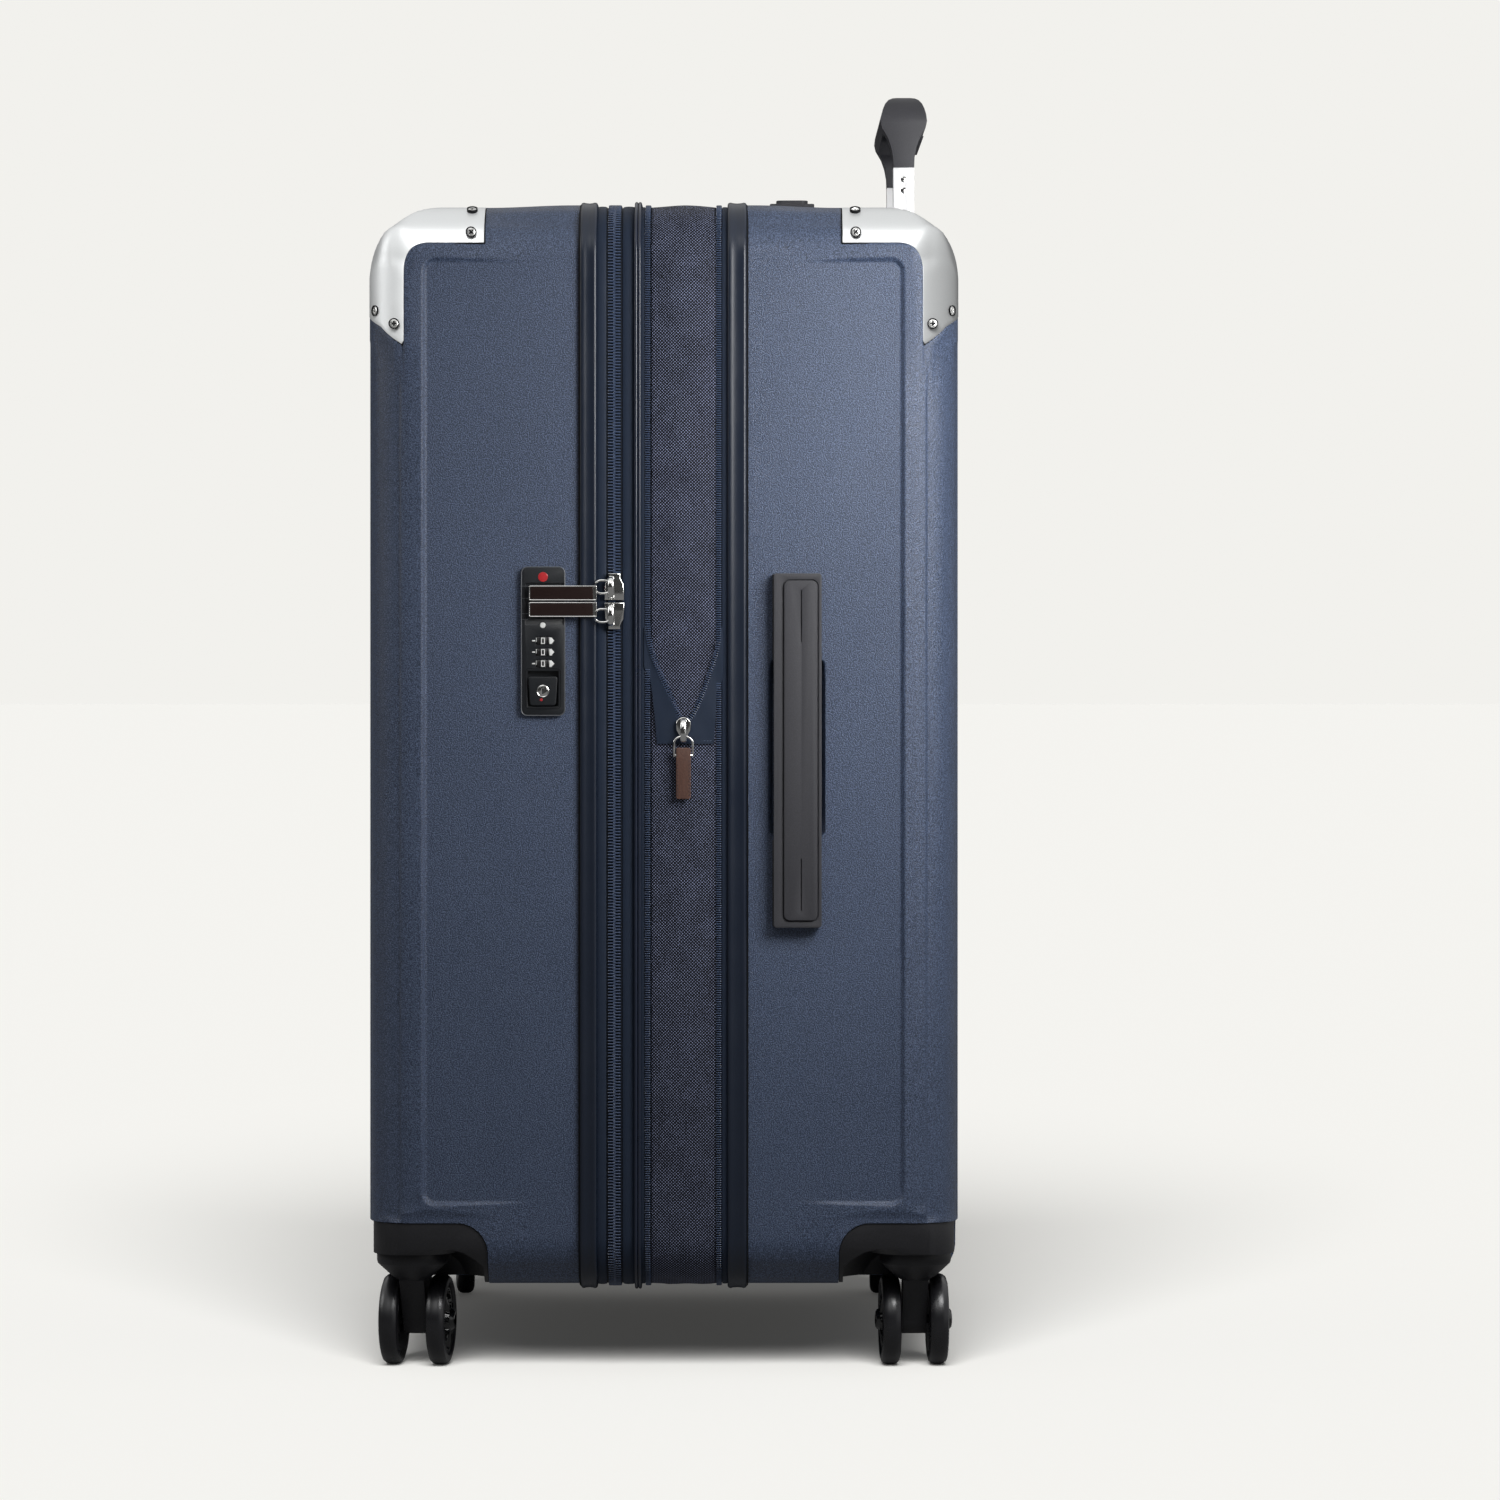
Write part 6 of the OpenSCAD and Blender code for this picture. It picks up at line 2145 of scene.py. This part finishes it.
@dataclass
class Interior:
    """What is inside: linings, page with a pocket, packing straps with their buckle."""

    def _page(self) -> None:
        """Builds the page with its binding, pocket and zip."""
        u, v, faces = plate_grid((476, 686), 7)
        x, z = u - 236, v + 68
        corner = box_distance(x - 2, z - 411, 238, 343, 26.0)
        keep = corner[faces].max(1) < 4
        pull = np.where(corner > 0, corner, 0)[:, None]
        middle = np.array([2.0, 411.0])
        at = np.stack([x, z], -1)
        away = at - middle
        at = at - away / np.linalg.norm(away, axis=1, keepdims=True).clip(1e-6) * pull
        y = -45.3 + 0.5 * np.sin(at[:, 0] / 41) * np.sin(at[:, 1] / 57) * np.clip(-corner / 20, 0, 1)
        points = np.column_stack([at[:, 0], y, at[:, 1]])
        made = Maker.piece("divider_cloth", points, faces[keep], LINING, "divider_page", ("divider_page",),
                           uv=at * MM, thick=0.9, offset=0.0)
        edge = plate_outline(-235.0, 239.0, 69.0, 753.0, 25.0, 10)
        path = np.column_stack([edge[:, 0], np.full(len(edge), -45.3), edge[:, 1]])
        section = np.array([(-4.6, -0.95), (0.6, -0.95), (1.1, 0), (0.6, 0.95), (-4.6, 0.95)])
        points, rows = sweep(path, section, np.array([0.0, 1.0, 0.0]), closed=True)
        binding = Maker.piece("divider_binding", points, rows, BINDING, "divider_page",
                              uv=points[:, [0, 2]] * MM)
        pieces = [binding]
        for name, low, high, drop in (("divider_pocket_low", 96, 380, 0.3), ("divider_pocket_high", 402, 730, -0.2)):
            u, v, faces = plate_grid((420, high - low), 7)
            a, b = u / 420, v / (high - low)
            swell = (np.sin(np.pi * a) * np.sin(np.pi * b)) ** 0.5
            y = -44.6 + 0.9 * swell + 0.25 * swell * np.sin(u / 23 + drop) * np.sin(v / 31)
            points = np.column_stack([u - 208, y, v + low])
            pocket = Maker.piece(name, points, faces, POCKET, "divider_page", uv=np.stack([u, v], -1) * MM, thick=0.3,
                                 offset=0.0)
            for z in (low, high):
                seam = rod(np.array([-208, -44.3, z]), np.array([212, -44.3, z]), 1.0, 8)
                pieces.append(Maker.piece(f"{name}_seam_{z}", seam[0], seam[1], BINDING, "divider_page",
                                          uv=seam[0][:, [0, 2]] * MM))

    def _straps(self) -> None:
        """Builds the four packing straps and their buckle."""
        for i, degrees in enumerate((38, 142, 218, 322)):
            a = math.radians(degrees)
            way, side = np.array([math.cos(a), math.sin(a)]), np.array([-math.sin(a), math.cos(a)])
            reach = 245.4 / abs(math.cos(a)) - 8.5 * abs(math.tan(a)) - 1
            u, v, faces = plate_grid((reach - 22, 24), 3)
            along, across = u + 22, v - 12
            y = 52.0 + 0.25 * np.sin(along / 26) + 0.12 * np.cos(across * 1.3)
            at = np.array([0.0, 411.0]) + along[:, None] * way + across[:, None] * side
            points = np.column_stack([at[:, 0], y, at[:, 1]])
            strap = Maker.piece(f"packing_strap_{i + 1}", points, faces, STRAP, "back_case",
                                ("back_straps",) if i == 0 else (), uv=np.stack([along, across], -1) * MM, thick=1.0,
                                offset=0.0)
        Maker.refined("strap_buckle", PLASTIC, 0.7, segments=3)

    def _hinge(self) -> None:
        """Builds the fabric that joins the front half to the middle frame."""
        u, v, faces = plate_grid((15.5, 597.4), 1.6)
        x = -253.8 - 0.25 * np.sin(np.pi * u / 15.5) + 0.05 * np.sin(v / 11)
        points = np.column_stack([x, u - 43.5, v + 112.3])
        made = Maker.piece("hinge_web_cloth", points, faces, TAPE, None, ("hinge_web",),
                           uv=np.stack([u, v], -1) * MM, thick=0.9, offset=0.0)
        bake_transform(made, "front_case", "mid_frame", start=(-0.254, -0.0435, 0.0), end=(-0.254, -0.028, 0.0))

    def build(self) -> None:
        """Builds the inside."""
        Lining(Side.FRONT).build()
        Lining(Side.BACK).build()
        self._page()
        self._straps()
        self._hinge()


@dataclass
class Studio:
    """Camera, backdrop, floor and lights."""

    backdrop: Colour = (0.887, 0.879, 0.847)
    paper: Colour = (0.86, 0.853, 0.822)
    floor_power: float = 4.26
    floor_glow: float = 0.055

    def _camera(self) -> None:
        """Places the camera."""
        data = bpy.data.cameras.new("camera")
        data.lens, data.sensor_width = 152.4, 36
        data.shift_x, data.shift_y = 0.0, -0.092
        data.clip_end = 60
        camera = bpy.data.objects.new("camera", data)
        camera.location = (4.414, 0.0568, 0.499)
        camera.rotation_euler = (math.pi / 2, 0, math.pi / 2)
        bpy.context.scene.collection.objects.link(camera)
        bpy.context.scene.camera = camera

    def _world(self) -> None:
        """Makes the soft world, plain to the camera and brighter above to everything else."""
        world = bpy.data.worlds.new("world")
        bpy.context.scene.world = world
        world.use_nodes = True
        tree = world.node_tree
        tree.nodes.clear()
        split = add_node(tree, "SeparateXYZ", {0: add_node(tree, "TexCoord").outputs["Generated"]}).outputs

        def ramp(axis: int, low: float, high: float, dim: float, bright: float) -> bpy.types.NodeSocket:
            """Adds brightness that changes along an axis.

            Args:
                axis: The axis.
                low: Where it starts to change.
                high: Where it stops.
                dim: The brightness before.
                bright: The brightness after.

            Returns:
                The brightness.
            """
            return add_node(tree, "MapRange", {"Value": split[axis], "From Min": low, "From Max": high,
                                               "To Min": dim, "To Max": bright}).outputs["Result"]

        seen = add_node(tree, "Background", {"Color": (*self.backdrop, 1)}).outputs[0]
        soft = add_node(tree, "Background", {"Strength": ramp(2, 0.25, 0.75, 0.05, 0.2)}).outputs[0]
        both = add_node(tree, "Math", {0: ramp(2, 0.3, 0.62, 0.05, 1.25), 1: ramp(1, 0.45, 0.8, 0.05, 0.8)},
                        operation="MAXIMUM").outputs[0]
        shine = add_node(tree, "Background", {"Strength": both}).outputs[0]
        path = add_node(tree, "LightPath").outputs
        unseen = add_node(tree, "MixShader", {0: path["Is Glossy Ray"], 1: soft, 2: shine}).outputs[0]
        mixed = add_node(tree, "MixShader", {0: path["Is Camera Ray"], 1: unseen, 2: seen}).outputs[0]
        add_node(tree, "OutputWorld", {0: mixed})

    def _floor(self) -> bpy.types.Object:
        """Lays the plain floor."""
        mesh = bpy.data.meshes.new("floor")
        mesh.from_pydata([(-30, -30, 0), (30, -30, 0), (30, 30, 0), (-30, 30, 0)], [], [(0, 1, 2, 3)])
        floor = bpy.data.objects.new("floor", mesh)
        bpy.context.scene.collection.objects.link(floor)
        made = bpy.data.materials.new("floor_paper")
        made.use_nodes = True
        shader = next(x for x in made.node_tree.nodes if x.type == "BSDF_PRINCIPLED")
        tree = made.node_tree
        seen = add_node(tree, "LightPath").outputs["Is Camera Ray"]
        mix = add_node(tree, "Mix", {0: seen, 6: (0.2, 0.2, 0.2, 1), 7: (*self.paper, 1)}, data_type="RGBA")
        glow = add_node(tree, "Math", {0: seen, 1: self.floor_glow}, operation="MULTIPLY")
        tree.links.new(mix.outputs[2], shader.inputs["Base Color"])
        tree.links.new(glow.outputs[0], shader.inputs["Emission Strength"])
        shader.inputs["Emission Color"].default_value = (*self.backdrop, 1)
        shader.inputs["Roughness"].default_value = 0.95
        shader.inputs["Specular IOR Level"].default_value = 0.0
        mesh.materials.append(made)
        return floor

    def _light(self, name: str, place: Tuple[float, float, float], aim: Tuple[float, float, float], size: float,
               power: float, apart: Sequence[bpy.types.Object]) -> None:
        """Places a soft light that doesn't reach some objects.

        Args:
            name: Its name.
            place: Where it is.
            aim: What it points at.
            size: Its width.
            power: Its power, in watts.
            apart: The objects that it doesn't reach.
        """
        data = bpy.data.lights.new(name, "AREA")
        data.shape, data.size, data.energy = "SQUARE", size, power
        light = bpy.data.objects.new(name, data)
        light.location = place
        away = np.array(place) - np.array(aim)
        flat = math.hypot(away[0], away[1])
        light.rotation_euler = (math.atan2(flat, away[2]), 0, math.atan2(away[1], away[0]) + math.pi / 2)
        light.visible_camera = False
        bpy.context.scene.collection.objects.link(light)
        kept = bpy.data.collections.new(name + "_leaves_out")
        for i, one in enumerate(apart):
            kept.objects.link(one)
            kept.collection_objects[i].light_linking.link_state = "EXCLUDE"
        light.light_linking.receiver_collection = kept

    def _floor_light(self, floor: bpy.types.Object) -> None:
        """Lights the floor alone, evenly, so that only the ground under the case is in shadow.

        Args:
            floor: The floor.
        """
        data = bpy.data.lights.new("floor_light", "SUN")
        data.energy, data.angle = self.floor_power, math.radians(38)
        light = bpy.data.objects.new("floor_light", data)
        light.rotation_euler = (0, math.radians(50), 0)
        bpy.context.scene.collection.objects.link(light)
        only = bpy.data.collections.new("floor_light_reaches")
        only.objects.link(floor)
        light.light_linking.receiver_collection = only

    def build(self) -> None:
        """Sets the stage."""
        bpy.context.scene.view_settings.view_transform = "Standard"
        self._camera()
        self._world()
        floor = self._floor()
        self._floor_light(floor)
        guards = [o for o in bpy.data.objects if o.name.endswith("guard_plates")]
        self._light("key", (0.7, 0.4, 0.74), (0.25, 0.11, 0.5), 0.36, 5.2, [floor, *guards])
        self._light("edge", (0.35, -1.7, 1.1), (0.2, -0.1, 0.45), 0.8, 7, [floor])
        self._light("front", (2.2, -0.5, 1.9), (0.25, -0.05, 0.6), 1.0, 4.5, [floor, *guards])
        rest = [o for o in bpy.data.objects if o.type == "MESH" and o not in guards]
        self._light("guards", (2.6, -0.25, 1.9), (0.25, -0.02, 0.72), 1.4, 92, rest)


class Suitcase:
    """The whole case."""

    def build(self) -> None:
        """Builds every part."""
        for back in (False, True):
            ShellHalf(back).build()
        Trims().build()
        Gusset().build()
        for end in Side:
            CornerGuard(end).build()
            for side in ("left", "right"):
                Maker.refined(f"{end.word}_housing_{side}", PLASTIC, 0.9, segments=3)
        for corner, turn in (("fl", 4), ("fr", -6.5), ("bl", -2), ("br", 2.2)):
            Caster(corner, turn).build()
        LockUnit().build()
        Pulls().build()
        Handles().build()
        Interior().build()


def main() -> None:
    """Builds the case and its studio."""
    logging.basicConfig(level=logging.INFO, format="%(name)s: %(message)s")
    Suitcase().build()
    Studio().build()


if __name__ == "__main__":
    main()
